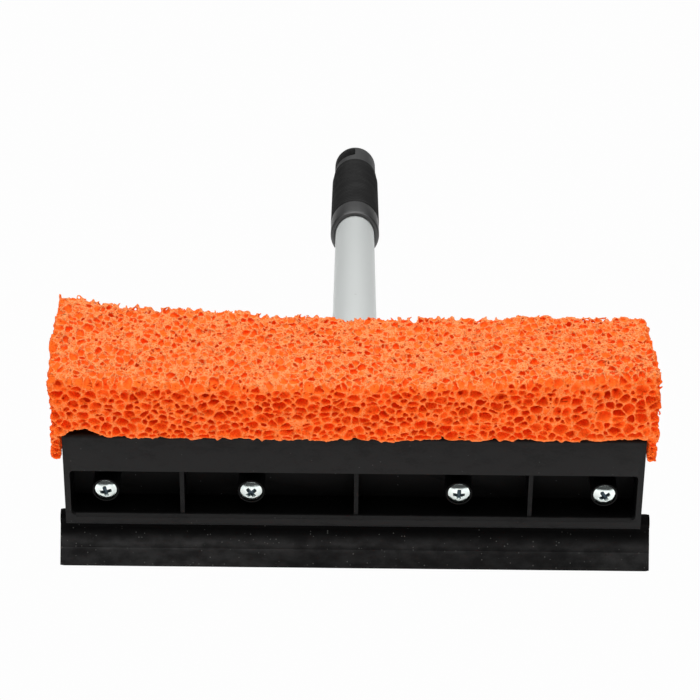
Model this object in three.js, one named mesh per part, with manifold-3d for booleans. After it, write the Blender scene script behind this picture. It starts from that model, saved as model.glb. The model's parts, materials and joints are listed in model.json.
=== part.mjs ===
// Windscreen washing squeegee: a moulded head that carries a sponge on top and a rubber blade
// below, on a telescoping tube handle with a ribbed grip. Millimetres, +Z up, +X to the right
// as the front face is looked at, +Y from the front face towards the grip. The tool lies as it
// is put down: on its blade and on the end cap, the origin under the middle of its box.
import * as THREE from 'three';
import { mergeVertices } from 'three/addons/utils/BufferGeometryUtils.js';
import Module from 'manifold-3d';

const wasm = await Module();
wasm.setup();

// ---- Clearances -------------------------------------------------------------------------
const SEAT_GAP = 0.3; // air between two seated pieces
const SLIP = 0.25; // radial air between parts that slide or turn on each other

// ---- Head: front housing ----------------------------------------------------------------
const HEAD_WIDTH = 200;
const FRONT_DEPTH = 15;
const SILL_HEIGHT = 4.35; // lip of the front face below its window
const WINDOW_HEIGHT = 18.55;
const BROW_HEIGHT = 14.7; // plain panel of the front face above its window
const WINDOW_DEPTH = 12.8;
const WINDOW_END_WALL = 2;
const WINDOW_CORNER = 1.4;
const SILL_CHAMFER = 1;
const SHELL_WALL = 2.2;
const EDGE_ROUND = 1.2;
const RIB_THICKNESS = 1.5;
const RIB_SPACING = 60.3; // between the middle rib and an outer one
const RIB_SHIFT = 0.9; // the ribs stand a little to the right of the middle
const RIB_SETBACK = 1.5;
const BOSS_RADIUS = 4.6;
const BOSS_SETBACK = 2;
const BOSS_SINK = 1.6; // depth of the pocket for a screw head
const INNER_SCREW_OFFSET = 36;
const OUTER_SCREW_INSET = 13.6; // centre of an outer screw from the end of the head
const SCREW_SHIFT = 0.5; // the screws stand a little to the right of the middle
const SCREW_HEIGHT = 13.5;

// ---- Head: rear housing -----------------------------------------------------------------
const REAR_DEPTH_MIDDLE = 22;
const REAR_DEPTH_END = 13;
const REAR_CORNER = 5;
const REAR_CROWN_WIDTH = 64; // straight middle part of the back wall
const PILLAR_RADIUS = 4.2;
const JAW_DROP = 3.4; // how far the rear jaw reaches below the front face
const JAW_LIP = 0.4; // thickness of the jaw's edge above the bead
const JAW_SLOPE = 1.3; // how far the edge of the jaw slopes back
const JAW_HEEL = 2; // slope at the back of the jaw
const SOCKET_Y = 22.3; // start of the handle axis behind the front face
const SOCKET_Z = 18.3; // start of the handle axis above the face's lower edge
const SOCKET_DEPTH = 48;
const SOCKET_WALL = 3.4;
const SOCKET_FLOOR = 2;
const SOCKET_MOUTH_EASE = 3; // length of the tapered mouth
const SOCKET_MOUTH_TAPER = 0.8;
const SCREW_SEAT_DEPTH = 0.8; // flat for the socket screw's head, sunk in the socket
const GUSSET_THICKNESS = 2.4;
const GUSSET_REACH = 30;
const GUSSET_SPREAD = 12.8; // how far a side gusset reaches beyond the socket at its root
const GUSSET_BITE = 1; // overlap of a gusset with what it joins
const GUSSET_CREST = 2; // flat top of the upper gusset

// ---- Rubber blade -----------------------------------------------------------------------
const BLADE_WIDTH = 206;
const BEAD_RADIUS = 2.7;
const BEAD_Y = 6;
const BEAD_Z = -0.6;
const BLADE_LENGTH = 17.4; // from the bead's centre to the wiping edge
const BLADE_LEAN = 33; // degrees forward of the front face's plane
const BLADE_ROOT_THICKNESS = 2.8;
const BLADE_LIP_THICKNESS = 2.3;
const BLADE_STEP_AT = 11.9; // where the thicker root ends, from the bead's centre
const BLADE_STEP = 0.6; // length of the slope from the root to the lip

// ---- Sponge -----------------------------------------------------------------------------
const SPONGE_SIDE_OVERHANG = 4.2;
const SPONGE_FRONT_OVERHANG = 2;
const SPONGE_DEPTH = 45.5;
const SPONGE_THICKNESS = 20.6;
const SPONGE_ROUND = 2.6;
const SPONGE_FLAP_DROP = 9.5; // ends that sag beside the head
const SPONGE_FLAP_GAP = 0.3;
const SPONGE_RIGHT_RISE = 3.2;
const SPONGE_CURL_RISE = 7.6; // lift of the rear corner on the left
const SPONGE_CURL_BACK = 4;
const SPONGE_SWELL = 0.6; // share of that lift that comes slowly along the left half
const SWELL_SPAN = [-10, 80]; // left of the middle, where the slow lift starts and ends
const CURL_SPAN = [82, 100];
const SPONGE_CROWN = 0.8;
const SPONGE_RISE_FADE = 0.5; // share of the right rise that is lost towards the rear
const SPONGE_PITCH = 12; // spacing of the sections along the sponge
const SPONGE_EDGE_STEPS = 6; // faces along each flat edge of a section

// ---- Screws -----------------------------------------------------------------------------
const SCREW_HEAD_RADIUS = 3.85;
const SCREW_HEAD_HEIGHT = 1.8;
const SCREW_CROWN = 0.2;
const SCREW_RIM = 1.5; // rounding of the head's rim
const SCREW_SHANK_RADIUS = 1.9;
const SCREW_LENGTH = 19;
const SCREW_POINT = 3;
const SCREW_HOLE_PLAY = 0.25;
const RECESS_SPAN = 3.7; // tip to tip of the cross recess
const RECESS_SLOT = 0.9;
const RECESS_DEPTH = 1.2;
const SCREW_TURNS = [12, 40, 63, 31]; // degrees, left to right
const SOCKET_SCREW_TURN = 20;

// ---- Handle -----------------------------------------------------------------------------
const HANDLE_SLOPE = 18.7; // degrees below the head's rearward direction
const TUBE_RADIUS = 9.2;
const TUBE_WALL = 1;
const BARE_TUBE = 323; // tube seen between the socket and the collar
const SOCKET_SCREW_AT = 30;
const PLUG_LENGTH = 42;

// ---- Twist lock inside the grip ---------------------------------------------------------
const LOCK_PLUG_LENGTH = 20;
const LOCK_FLANGE = 2;
const SPINDLE_RADIUS = 3.5;
const CONE_LENGTH = 10;
const CONE_SMALL_RADIUS = 5.6;
const CONE_LARGE_RADIUS = 7.4;
const EXPANDER_LENGTH = 19.4;
const EXPANDER_END_WALL = 4;
const EXPANDER_SLIT = 2.4;
const STOP_HEAD_RADIUS = 6;
const STOP_HEAD_HEIGHT = 2.4;
const STOP_SHANK_RADIUS = 1.6;
const STOP_SHANK_LENGTH = 10;

// ---- Grip -------------------------------------------------------------------------------
const GRIP_TUBE_BORE = 10.25;
const GRIP_TUBE_WALL = 0.65;
const COLLAR_RADIUS = 11.75;
const COLLAR_GUIDE = 15; // length that guides the sliding tube
const COLLAR_SKIRT = 11; // length that grips the grip tube
const COLLAR_ROUND = 1.4;
const SLEEVE_LENGTH = 119;
const SLEEVE_RADIUS = 11.75;
const CAP_RADIUS = 10.7;
const CAP_LENGTH = 38.4;
const CAP_ROUND = 1.6;
const CAP_PLUG_LENGTH = 14;
const SLOT_WIDTH = 15;
const SLOT_LENGTH = 21;
const SLOT_END_RIM = 3.5;
const SLOT_CORNER = 3.4;
const SLOT_TURN = 45; // degrees that the hanging slot leans to the left of upright

// ---- Fineness of the round forms --------------------------------------------------------
const TUBE_SIDES = 48;
const SCREW_SIDES = 24;
const ARC_STEPS = 5;

// ---- Derived sizes ----------------------------------------------------------------------
const FACE_HEIGHT = SILL_HEIGHT + WINDOW_HEIGHT + BROW_HEIGHT;
const WINDOW_TOP = SILL_HEIGHT + WINDOW_HEIGHT;
const HALF_HEAD = HEAD_WIDTH / 2;
const REAR_START = FRONT_DEPTH + SEAT_GAP;
const RIB_OFFSETS = [-RIB_SPACING, 0, RIB_SPACING].map((x) => x + RIB_SHIFT);
const SCREW_OFFSETS = [
  -(HALF_HEAD - OUTER_SCREW_INSET), -INNER_SCREW_OFFSET,
  INNER_SCREW_OFFSET, HALF_HEAD - OUTER_SCREW_INSET,
].map((x) => x + SCREW_SHIFT);
const SCREW_SEAT = BOSS_SETBACK + BOSS_SINK - SEAT_GAP; // where the screws' heads seat
const SCREW_POCKET_RADIUS = SCREW_HEAD_RADIUS + SEAT_GAP;
const SCREW_HOLE_RADIUS = SCREW_SHANK_RADIUS + SCREW_HOLE_PLAY;
const SOCKET_BORE = TUBE_RADIUS + SLIP;
const SOCKET_RADIUS = SOCKET_BORE + SOCKET_WALL;
const SOCKET_SEAT = SOCKET_RADIUS - SCREW_SEAT_DEPTH;
const SOCKET_SCREW_LENGTH = SOCKET_RADIUS - 2;
const TUBE_BORE = TUBE_RADIUS - TUBE_WALL;
const TUBE_PLUG_RADIUS = TUBE_BORE - SLIP;
const COLLAR_AT = SOCKET_DEPTH + BARE_TUBE;
const COLLAR_STEP = COLLAR_AT + COLLAR_GUIDE;
const COLLAR_END = COLLAR_STEP + COLLAR_SKIRT;
const TUBE_END = COLLAR_STEP + SEAT_GAP;
const GRIP_TUBE_RADIUS = GRIP_TUBE_BORE + GRIP_TUBE_WALL;
const GRIP_SHELL_BORE = GRIP_TUBE_RADIUS + SLIP;
const SLEEVE_AT = COLLAR_END + SEAT_GAP;
const SLEEVE_END = SLEEVE_AT + SLEEVE_LENGTH;
const CAP_AT = SLEEVE_END + SEAT_GAP;
const CAP_END = CAP_AT + CAP_LENGTH;
const FLANGE_AT = TUBE_END + SEAT_GAP;
const LOCK_AT = FLANGE_AT + LOCK_FLANGE + SEAT_GAP;
const SPINDLE_END = LOCK_AT + EXPANDER_LENGTH + SEAT_GAP;

const slope = THREE.MathUtils.degToRad(HANDLE_SLOPE);
const lean = THREE.MathUtils.degToRad(BLADE_LEAN);

// ---- Finishes ---------------------------------------------------------------------------
const finish = (color, roughness, metalness) =>
  new THREE.MeshStandardMaterial({ color, roughness, metalness });
const BLACK_PLASTIC = finish(0x2a2a2a, 0.55, 0);
const GREY_PLASTIC = finish(0x5a5a5a, 0.5, 0);
const WHITE_PLASTIC = finish(0xd8d8d2, 0.5, 0);
const BLACK_RUBBER = finish(0x232323, 0.8, 0);
const ORANGE_SPONGE = finish(0xf0703a, 0.95, 0);
const GREY_PAINT = finish(0xcaccca, 0.35, 0.2);
const BARE_STEEL = finish(0xa8abae, 0.3, 0.9);
const ZINC = finish(0xc4ced2, 0.25, 1);

// ---- Solids -----------------------------------------------------------------------------
function solid(geometry) {
  const bare = geometry.clone();
  bare.deleteAttribute('normal');
  bare.deleteAttribute('uv');
  const merged = mergeVertices(bare, 1e-5);
  return new wasm.Manifold(new wasm.Mesh({
    numProp: 3,
    vertProperties: new Float32Array(merged.attributes.position.array),
    triVerts: new Uint32Array(merged.index.array),
  }));
}

function geometryOf(body) {
  const mesh = body.getMesh();
  const geometry = new THREE.BufferGeometry();
  geometry.setAttribute('position', new THREE.BufferAttribute(mesh.vertProperties, 3));
  geometry.setIndex(new THREE.BufferAttribute(mesh.triVerts, 1));
  const flat = geometry.toNonIndexed();
  flat.computeVertexNormals();
  return flat;
}

function joined(...bodies) {
  return bodies.reduce((all, next) => all.add(next));
}

function cut(body, ...tools) {
  return tools.reduce((rest, tool) => rest.subtract(tool), body);
}

// A box between two corners, each [x, y, z].
function block(low, high) {
  const size = high.map((value, axis) => value - low[axis]);
  const box = new THREE.BoxGeometry(...size);
  box.translate(...high.map((value, axis) => (value + low[axis]) / 2));
  return solid(box);
}

// A (y, z) outline carried along X, centred.
function alongX(outline, width) {
  const geometry = new THREE.ExtrudeGeometry(outline, {
    depth: width, bevelEnabled: false, curveSegments: ARC_STEPS,
  });
  geometry.translate(0, 0, -width / 2);
  geometry.applyMatrix4(new THREE.Matrix4().makeBasis(
    new THREE.Vector3(0, 1, 0), new THREE.Vector3(0, 0, 1), new THREE.Vector3(1, 0, 0)));
  return solid(geometry);
}

// An (x, z) outline carried along +Y from y to y + depth.
function alongY(outline, y, depth) {
  const geometry = new THREE.ExtrudeGeometry(outline, {
    depth, bevelEnabled: false, curveSegments: ARC_STEPS,
  });
  geometry.rotateX(Math.PI / 2);
  geometry.translate(0, y + depth, 0);
  return solid(geometry);
}

// An (x, y) outline carried along +Z from z to z + height.
function alongZ(outline, z, height) {
  const geometry = new THREE.ExtrudeGeometry(outline, {
    depth: height, bevelEnabled: false, curveSegments: ARC_STEPS,
  });
  geometry.translate(0, 0, z);
  return solid(geometry);
}

// A closed profile of [radius, y] points turned about the Y axis. Points run towards -Y on the
// outside and back on the axis or in the bore.
function turned(profile, sides = TUBE_SIDES) {
  const points = profile.map(([radius, y]) => new THREE.Vector2(radius, y));
  return new THREE.LatheGeometry(points, sides);
}

// A ring or pipe about the Y axis.
function pipe(bore, radius, start, end, sides = TUBE_SIDES) {
  return solid(turned([
    [bore, start], [radius, start], [radius, end], [bore, end], [bore, start],
  ], sides));
}

// A rod about the Y axis.
function rod(radius, start, end, sides = TUBE_SIDES) {
  return solid(turned([[0, start], [radius, start], [radius, end], [0, end]], sides));
}

// Quarter arc of [radius, y] points about a centre, from one angle to another in degrees.
function arc(radius, y, size, from, to) {
  return Array.from({ length: ARC_STEPS + 1 }, (_, step) => {
    const angle = THREE.MathUtils.degToRad(from + ((to - from) * step) / ARC_STEPS);
    return [radius + size * Math.cos(angle), y + size * Math.sin(angle)];
  });
}

function roundedRectangle(left, bottom, right, top, round) {
  const shape = new THREE.Shape();
  shape.moveTo(left + round, bottom);
  shape.lineTo(right - round, bottom);
  shape.absarc(right - round, bottom + round, round, -Math.PI / 2, 0, false);
  shape.lineTo(right, top - round);
  shape.absarc(right - round, top - round, round, 0, Math.PI / 2, false);
  shape.lineTo(left + round, top);
  shape.absarc(left + round, top - round, round, Math.PI / 2, Math.PI, false);
  shape.lineTo(left, bottom + round);
  shape.absarc(left + round, bottom + round, round, Math.PI, Math.PI * 1.5, false);
  return shape;
}

function polygon(points) {
  return new THREE.Shape(points.map(([x, y]) => new THREE.Vector2(x, y)));
}

function piece(name, geometry, material) {
  const mesh = new THREE.Mesh(geometry, material);
  mesh.name = name;
  return mesh;
}

// Moves a solid made about the handle axis (its own Y axis) to where the axis lies in the head.
function onHandleAxis(body) {
  const placed = geometryOf(body);
  placed.rotateX(-slope);
  placed.translate(0, SOCKET_Y, SOCKET_Z);
  return solid(placed);
}

// ---- Places worked out from the sizes ---------------------------------------------------
const bladeDown = new THREE.Vector2(-Math.sin(lean), -Math.cos(lean));
const bladeFront = new THREE.Vector2(-Math.cos(lean), Math.sin(lean));
const beadCentre = new THREE.Vector2(BEAD_Y, BEAD_Z);

// A point of the blade's section: along the blade from the bead, and out from its middle.
function bladePoint(along, out) {
  return beadCentre.clone().addScaledVector(bladeDown, along).addScaledVector(bladeFront, out);
}

// The floor touches the wiping edge and the rounded rim of the end cap. Both are known in the
// head's own frame, and the angle of the line under them is how far the head tips forward.
function floorAngle() {
  const edge = bladePoint(BLADE_LENGTH, BLADE_LIP_THICKNESS / 2);
  const inwards = CAP_END - CAP_ROUND;
  const below = CAP_RADIUS - CAP_ROUND;
  const rim = new THREE.Vector2(
    SOCKET_Y + inwards * Math.cos(slope) - below * Math.sin(slope),
    SOCKET_Z - inwards * Math.sin(slope) - below * Math.cos(slope));
  const way = rim.clone().sub(edge);
  return Math.atan2(way.y, way.x) - Math.asin(CAP_ROUND / way.length());
}

const tip = -floorAngle();

// ---- Front housing ----------------------------------------------------------------------
function frontSection() {
  const shape = new THREE.Shape();
  const round = EDGE_ROUND;
  shape.moveTo(round, 0);
  shape.lineTo(FRONT_DEPTH, 0);
  shape.lineTo(FRONT_DEPTH, FACE_HEIGHT);
  shape.lineTo(round, FACE_HEIGHT);
  shape.absarc(round, FACE_HEIGHT - round, round, Math.PI / 2, Math.PI, false);
  shape.lineTo(0, round);
  shape.absarc(round, round, round, Math.PI, Math.PI * 1.5, false);
  return shape;
}

function windowCut() {
  const half = HALF_HEAD - WINDOW_END_WALL;
  const opening = roundedRectangle(-half, SILL_HEIGHT, half, WINDOW_TOP, WINDOW_CORNER);
  const chamfer = alongX(polygon([
    [-1, SILL_HEIGHT - SILL_CHAMFER], [0, SILL_HEIGHT - SILL_CHAMFER],
    [SILL_CHAMFER, SILL_HEIGHT], [SILL_CHAMFER, SILL_HEIGHT + 1], [-1, SILL_HEIGHT + 1],
  ]), 2 * (half - WINDOW_CORNER));
  return joined(alongY(opening, -1, WINDOW_DEPTH + 1), chamfer);
}

function windowRib(x) {
  return block(
    [x - RIB_THICKNESS / 2, RIB_SETBACK, SILL_HEIGHT - SILL_CHAMFER],
    [x + RIB_THICKNESS / 2, FRONT_DEPTH - 1, WINDOW_TOP + 1]);
}

function boss(x) {
  const round = geometryOf(rod(BOSS_RADIUS, BOSS_SETBACK, FRONT_DEPTH, SCREW_SIDES));
  round.translate(x, 0, SCREW_HEIGHT);
  return solid(round);
}

function roundHole(x, radius, start, end) {
  const hole = geometryOf(rod(radius, start, end, SCREW_SIDES));
  hole.translate(x, 0, SCREW_HEIGHT);
  return solid(hole);
}

// The way of one screw through the front housing: a pocket for its head, then its hole.
function screwWay(x) {
  return joined(
    roundHole(x, SCREW_POCKET_RADIUS, 0, BOSS_SETBACK + BOSS_SINK),
    roundHole(x, SCREW_HOLE_RADIUS, 0, FRONT_DEPTH + 1));
}

// The round channel that the blade's bead lies in, cut through both housings.
function beadChannel() {
  const channel = new THREE.Shape();
  channel.absarc(BEAD_Y, BEAD_Z, BEAD_RADIUS + SEAT_GAP, 0, Math.PI * 2, false);
  return alongX(channel, HEAD_WIDTH + 2);
}

// Room for the blade below the bead and for the rear jaw behind it.
function jawRoom() {
  const ceiling = BEAD_Z + BEAD_RADIUS + SEAT_GAP;
  return alongX(polygon([
    [BEAD_Y, -1], [FRONT_DEPTH + 1, -1], [FRONT_DEPTH + 1, ceiling], [BEAD_Y, ceiling],
  ]), HEAD_WIDTH + 2);
}

function browPocket() {
  const half = HALF_HEAD - WINDOW_END_WALL;
  return block(
    [-half, SHELL_WALL, WINDOW_TOP + SHELL_WALL],
    [half, FRONT_DEPTH + 1, FACE_HEIGHT - SHELL_WALL]);
}

function frontHousing() {
  const shell = cut(alongX(frontSection(), HEAD_WIDTH), windowCut(), browPocket());
  const body = cut(
    joined(shell, ...RIB_OFFSETS.map(windowRib), ...SCREW_OFFSETS.map(boss)),
    ...SCREW_OFFSETS.map(screwWay), beadChannel(), jawRoom());
  return piece('front_housing', geometryOf(body), BLACK_PLASTIC);
}

// ---- Rear housing -----------------------------------------------------------------------
// Plan of the rear housing, drawn in by a wall where asked.
function rearPlan(inset) {
  const half = HALF_HEAD - inset;
  const shoulder = REAR_START + REAR_DEPTH_END - inset;
  const crown = REAR_START + REAR_DEPTH_MIDDLE - inset;
  const round = REAR_CORNER - inset;
  const shape = new THREE.Shape();
  shape.moveTo(-half, REAR_START - (inset > 0 ? 1 : 0));
  shape.lineTo(half, REAR_START - (inset > 0 ? 1 : 0));
  shape.lineTo(half, shoulder - round);
  shape.quadraticCurveTo(half, shoulder, half - round, shoulder);
  shape.bezierCurveTo(
    REAR_CROWN_WIDTH, shoulder, REAR_CROWN_WIDTH * 0.75, crown, REAR_CROWN_WIDTH / 2, crown);
  shape.lineTo(-REAR_CROWN_WIDTH / 2, crown);
  shape.bezierCurveTo(
    -REAR_CROWN_WIDTH * 0.75, crown, -REAR_CROWN_WIDTH, shoulder, -half + round, shoulder);
  shape.quadraticCurveTo(-half, shoulder, -half, shoulder - round);
  return shape;
}

function rearShell() {
  const outside = alongZ(rearPlan(0), 0, FACE_HEIGHT);
  const inside = alongZ(rearPlan(SHELL_WALL), SHELL_WALL, FACE_HEIGHT - 2 * SHELL_WALL);
  return cut(outside, inside);
}

// The jaw reaches forward below the front housing and holds the bead from behind.
function rearJaw() {
  const ceiling = BEAD_Z + BEAD_RADIUS;
  const back = REAR_START + REAR_DEPTH_END - REAR_CORNER;
  return alongX(polygon([
    [BEAD_Y + SEAT_GAP, ceiling - JAW_LIP], [BEAD_Y + SEAT_GAP + JAW_LIP, ceiling],
    [back, ceiling], [back, 0],
    [back - JAW_HEEL, -JAW_DROP + JAW_SLOPE], [BEAD_Y + BEAD_RADIUS + JAW_HEEL, -JAW_DROP],
    [BEAD_Y + SEAT_GAP + JAW_SLOPE, -JAW_DROP],
  ]), HEAD_WIDTH);
}

// A post for one housing screw, from the split face to the back wall wherever that lies.
function pillar(x) {
  const post = geometryOf(
    rod(PILLAR_RADIUS, REAR_START, REAR_START + REAR_DEPTH_MIDDLE, SCREW_SIDES));
  post.translate(x, 0, SCREW_HEIGHT);
  return solid(post).intersect(alongZ(rearPlan(SHELL_WALL / 2), 0, FACE_HEIGHT));
}

function socketOutside() {
  const start = -SOCKET_FLOOR - SEAT_GAP;
  return onHandleAxis(solid(turned([
    [0, start], [SOCKET_RADIUS, start], [SOCKET_RADIUS, SOCKET_DEPTH - SOCKET_MOUTH_EASE],
    [SOCKET_RADIUS - SOCKET_MOUTH_TAPER, SOCKET_DEPTH], [0, SOCKET_DEPTH],
  ])));
}

// Two side gussets and a top gusset brace the socket against the back wall.
function gussets() {
  const crown = REAR_START + REAR_DEPTH_MIDDLE;
  const side = solid(new THREE.ExtrudeGeometry(polygon([
    [-SOCKET_RADIUS - GUSSET_SPREAD, crown - GUSSET_BITE],
    [SOCKET_RADIUS + GUSSET_SPREAD, crown - GUSSET_BITE],
    [SOCKET_RADIUS - GUSSET_BITE, crown + GUSSET_REACH],
    [-SOCKET_RADIUS + GUSSET_BITE, crown + GUSSET_REACH],
  ]), { depth: GUSSET_THICKNESS, bevelEnabled: false }));
  const tilted = geometryOf(side);
  tilted.translate(0, -crown, -GUSSET_THICKNESS / 2);
  tilted.rotateX(-slope);
  const drop = (crown - SOCKET_Y) * Math.tan(slope);
  tilted.translate(0, crown, SOCKET_Z - drop);
  const topRib = alongX(polygon([
    [crown - GUSSET_BITE, SOCKET_Z - drop], [crown - GUSSET_BITE, FACE_HEIGHT - SHELL_WALL / 2],
    [crown + GUSSET_CREST, FACE_HEIGHT - SHELL_WALL / 2],
    [crown + GUSSET_REACH, SOCKET_Z - drop - GUSSET_REACH * Math.tan(slope)],
  ]), GUSSET_THICKNESS);
  return joined(solid(tilted), topRib);
}

function rearHousing() {
  const holes = SCREW_OFFSETS.map((x) =>
    roundHole(x, SCREW_HOLE_RADIUS, REAR_START - 1, SCREW_SEAT + SCREW_LENGTH + 1));
  const bore = onHandleAxis(rod(SOCKET_BORE, 0, SOCKET_DEPTH + 1));
  const screwBore = onHandleAxis(socketScrewHole());
  const front = block(
    [-HALF_HEAD, -SOCKET_RADIUS, 0], [HALF_HEAD, REAR_START, FACE_HEIGHT]);
  const socket = cut(socketOutside(), front);
  const body = joined(rearShell(), ...SCREW_OFFSETS.map(pillar), rearJaw(), socket, gussets());
  const shaped = cut(body, ...holes, bore, screwBore, beadChannel());
  return piece('rear_housing', geometryOf(shaped), BLACK_PLASTIC);
}

// ---- Rubber blade -----------------------------------------------------------------------
function squeegeeBlade() {
  const root = BLADE_ROOT_THICKNESS / 2;
  const lip = BLADE_LIP_THICKNESS / 2;
  const edge = bladePoint(BLADE_LENGTH, lip);
  const floorWay = new THREE.Vector2(Math.cos(tip), -Math.sin(tip));
  const across = BLADE_LIP_THICKNESS / Math.abs(floorWay.dot(bladeFront));
  const heel = edge.clone().addScaledVector(floorWay, across);
  const strip = polygon([
    bladePoint(0, root), bladePoint(BLADE_STEP_AT, root),
    bladePoint(BLADE_STEP_AT + BLADE_STEP, lip), edge, heel, bladePoint(0, -lip),
  ].map((point) => [point.x, point.y]));
  const bead = new THREE.Shape();
  bead.absarc(BEAD_Y, BEAD_Z, BEAD_RADIUS, 0, Math.PI * 2, false);
  const body = joined(alongX(strip, BLADE_WIDTH), alongX(bead, BLADE_WIDTH));
  return piece('squeegee_blade', geometryOf(body), BLACK_RUBBER);
}

// ---- Sponge -----------------------------------------------------------------------------
const smooth = (value, from, to) => THREE.MathUtils.smoothstep(value, from, to);

// One section of the sponge, a rounded rectangle of [y, z] points running round its edge. Every
// section has as many points as the next.
function spongeSection(inset, bottom) {
  const front = -SPONGE_FRONT_OVERHANG + inset + SPONGE_ROUND;
  const rear = -SPONGE_FRONT_OVERHANG + SPONGE_DEPTH - inset - SPONGE_ROUND;
  const base = bottom + inset + SPONGE_ROUND;
  const top = FACE_HEIGHT + SEAT_GAP + SPONGE_THICKNESS - inset - SPONGE_ROUND;
  const centres = [[rear, base], [rear, top], [front, top], [front, base]];
  const corners = centres.map(([y, z], corner) => [0, 1, 2].map((step) => {
    const angle = ((corner - 1 + step / 2) * Math.PI) / 2;
    return new THREE.Vector2(
      y + SPONGE_ROUND * Math.cos(angle), z + SPONGE_ROUND * Math.sin(angle));
  }));
  return corners.flatMap((points, corner) => {
    const next = corners[(corner + 1) % corners.length][0];
    const edge = Array.from({ length: SPONGE_EDGE_STEPS - 1 }, (_, step) =>
      points[2].clone().lerp(next, (step + 1) / SPONGE_EDGE_STEPS));
    return [...points, ...edge];
  });
}

// How much of the left rear corner's lift a place along the sponge has: a slow swell over the
// left half, then a quick curl at the end.
function curlShare(x) {
  const swell = smooth(-x, ...SWELL_SPAN);
  const curl = smooth(-x, ...CURL_SPAN);
  return SPONGE_SWELL * swell + (1 - SPONGE_SWELL) * curl;
}

// The block is pressed out of true: it rises to the right, crowns along its middle and curls
// up and back at its left rear corner. The lift grows from nothing at the base.
function spongeShift(x, y, z) {
  const base = FACE_HEIGHT + SEAT_GAP;
  const height = THREE.MathUtils.clamp((z - base) / SPONGE_THICKNESS, 0, 1);
  const depth = THREE.MathUtils.clamp((y + SPONGE_FRONT_OVERHANG) / SPONGE_DEPTH, 0, 1);
  const half = HALF_HEAD + SPONGE_SIDE_OVERHANG;
  const right = SPONGE_RIGHT_RISE * smooth(x, 0, half) * (1 - SPONGE_RISE_FADE * depth);
  const curl = curlShare(x) * depth;
  const crown = SPONGE_CROWN * Math.sin(Math.PI * depth);
  return new THREE.Vector3(
    x, y + height * SPONGE_CURL_BACK * curl, z + height * (right + SPONGE_CURL_RISE * curl + crown));
}

function spongeStations() {
  const base = FACE_HEIGHT + SEAT_GAP;
  const flap = base - SPONGE_FLAP_DROP;
  const end = HALF_HEAD + SPONGE_SIDE_OVERHANG;
  const inner = HALF_HEAD + SPONGE_FLAP_GAP;
  const ends = [[end, 1.3, flap], [end - 1, 0.4, flap], [inner + 0.1, 0, flap], [inner, 0, base]];
  const count = Math.round((2 * inner) / SPONGE_PITCH);
  const middle = Array.from({ length: count - 1 }, (_, step) =>
    [-inner + (2 * inner * (step + 1)) / count, 0, base]);
  const left = ends.map(([x, inset, bottom]) => [-x, inset, bottom]);
  return [...left, ...middle, ...ends.reverse()];
}

// Closes a row of equal rings into one skin, with a fan over each end ring.
function loft(rings) {
  const count = rings[0].length;
  const positions = rings.flat().flatMap((point) => point.toArray());
  const index = [];
  for (let ring = 0; ring + 1 < rings.length; ring += 1) {
    for (let step = 0; step < count; step += 1) {
      const here = ring * count + step;
      const beside = ring * count + ((step + 1) % count);
      index.push(here, beside, here + count, beside, beside + count, here + count);
    }
  }
  [[rings[0], 0, true], [rings.at(-1), (rings.length - 1) * count, false]].forEach(
    ([ring, start, flip]) => {
      const middle = positions.length / 3;
      const centre = ring.reduce((sum, point) => sum.add(point), new THREE.Vector3());
      positions.push(...centre.divideScalar(count).toArray());
      for (let step = 0; step < count; step += 1) {
        const pair = [start + step, start + ((step + 1) % count)];
        index.push(middle, ...(flip ? pair.reverse() : pair));
      }
    });
  const geometry = new THREE.BufferGeometry();
  geometry.setAttribute('position', new THREE.Float32BufferAttribute(positions, 3));
  geometry.setIndex(index);
  return geometry;
}

function sponge() {
  const rings = spongeStations().map(([x, inset, bottom]) =>
    spongeSection(inset, bottom).map((point) => spongeShift(x, point.x, point.y)));
  return piece('sponge', loft(rings), ORANGE_SPONGE);
}

// ---- Screws -----------------------------------------------------------------------------
// A pan-head tapping screw about the Y axis: the head's seat at y 0, the point towards +Y.
function tappingScrew(turn, length) {
  const top = -SCREW_HEAD_HEIGHT - SCREW_CROWN;
  const dome = arc(
    SCREW_HEAD_RADIUS - SCREW_RIM, -SCREW_HEAD_HEIGHT + SCREW_RIM, SCREW_RIM, -90, 0);
  const body = solid(turned([
    [0, top], ...dome, [SCREW_HEAD_RADIUS, 0], [SCREW_SHANK_RADIUS, 0],
    [SCREW_SHANK_RADIUS, length - SCREW_POINT], [0, length],
  ], SCREW_SIDES));
  const half = RECESS_SPAN / 2;
  const slot = RECESS_SLOT / 2;
  const bottom = top + RECESS_DEPTH;
  const cross = joined(
    block([-half, top - 1, -slot], [half, bottom, slot]),
    block([-slot, top - 1, -half], [slot, bottom, half]));
  const geometry = geometryOf(cut(body, cross));
  geometry.rotateY(THREE.MathUtils.degToRad(turn));
  return geometry;
}

function housingScrews() {
  return SCREW_OFFSETS.map((x, index) => {
    const shape = tappingScrew(SCREW_TURNS[index], SCREW_LENGTH);
    const screw = piece(`housing_screw_${index + 1}`, shape, ZINC);
    screw.position.set(x, SCREW_SEAT, SCREW_HEIGHT);
    return screw;
  });
}

// The hole for the socket screw, square to the handle axis from below it.
function socketScrewHole() {
  const hole = geometryOf(rod(SCREW_HOLE_RADIUS, 0, SOCKET_RADIUS + 2, SCREW_SIDES));
  hole.rotateX(-Math.PI / 2);
  hole.translate(0, SOCKET_SCREW_AT, 0);
  const seat = geometryOf(
    rod(SCREW_POCKET_RADIUS, SOCKET_SEAT, SOCKET_RADIUS + 4, SCREW_SIDES));
  seat.rotateX(-Math.PI / 2);
  seat.translate(0, SOCKET_SCREW_AT, 0);
  return joined(solid(hole), solid(seat));
}

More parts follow.
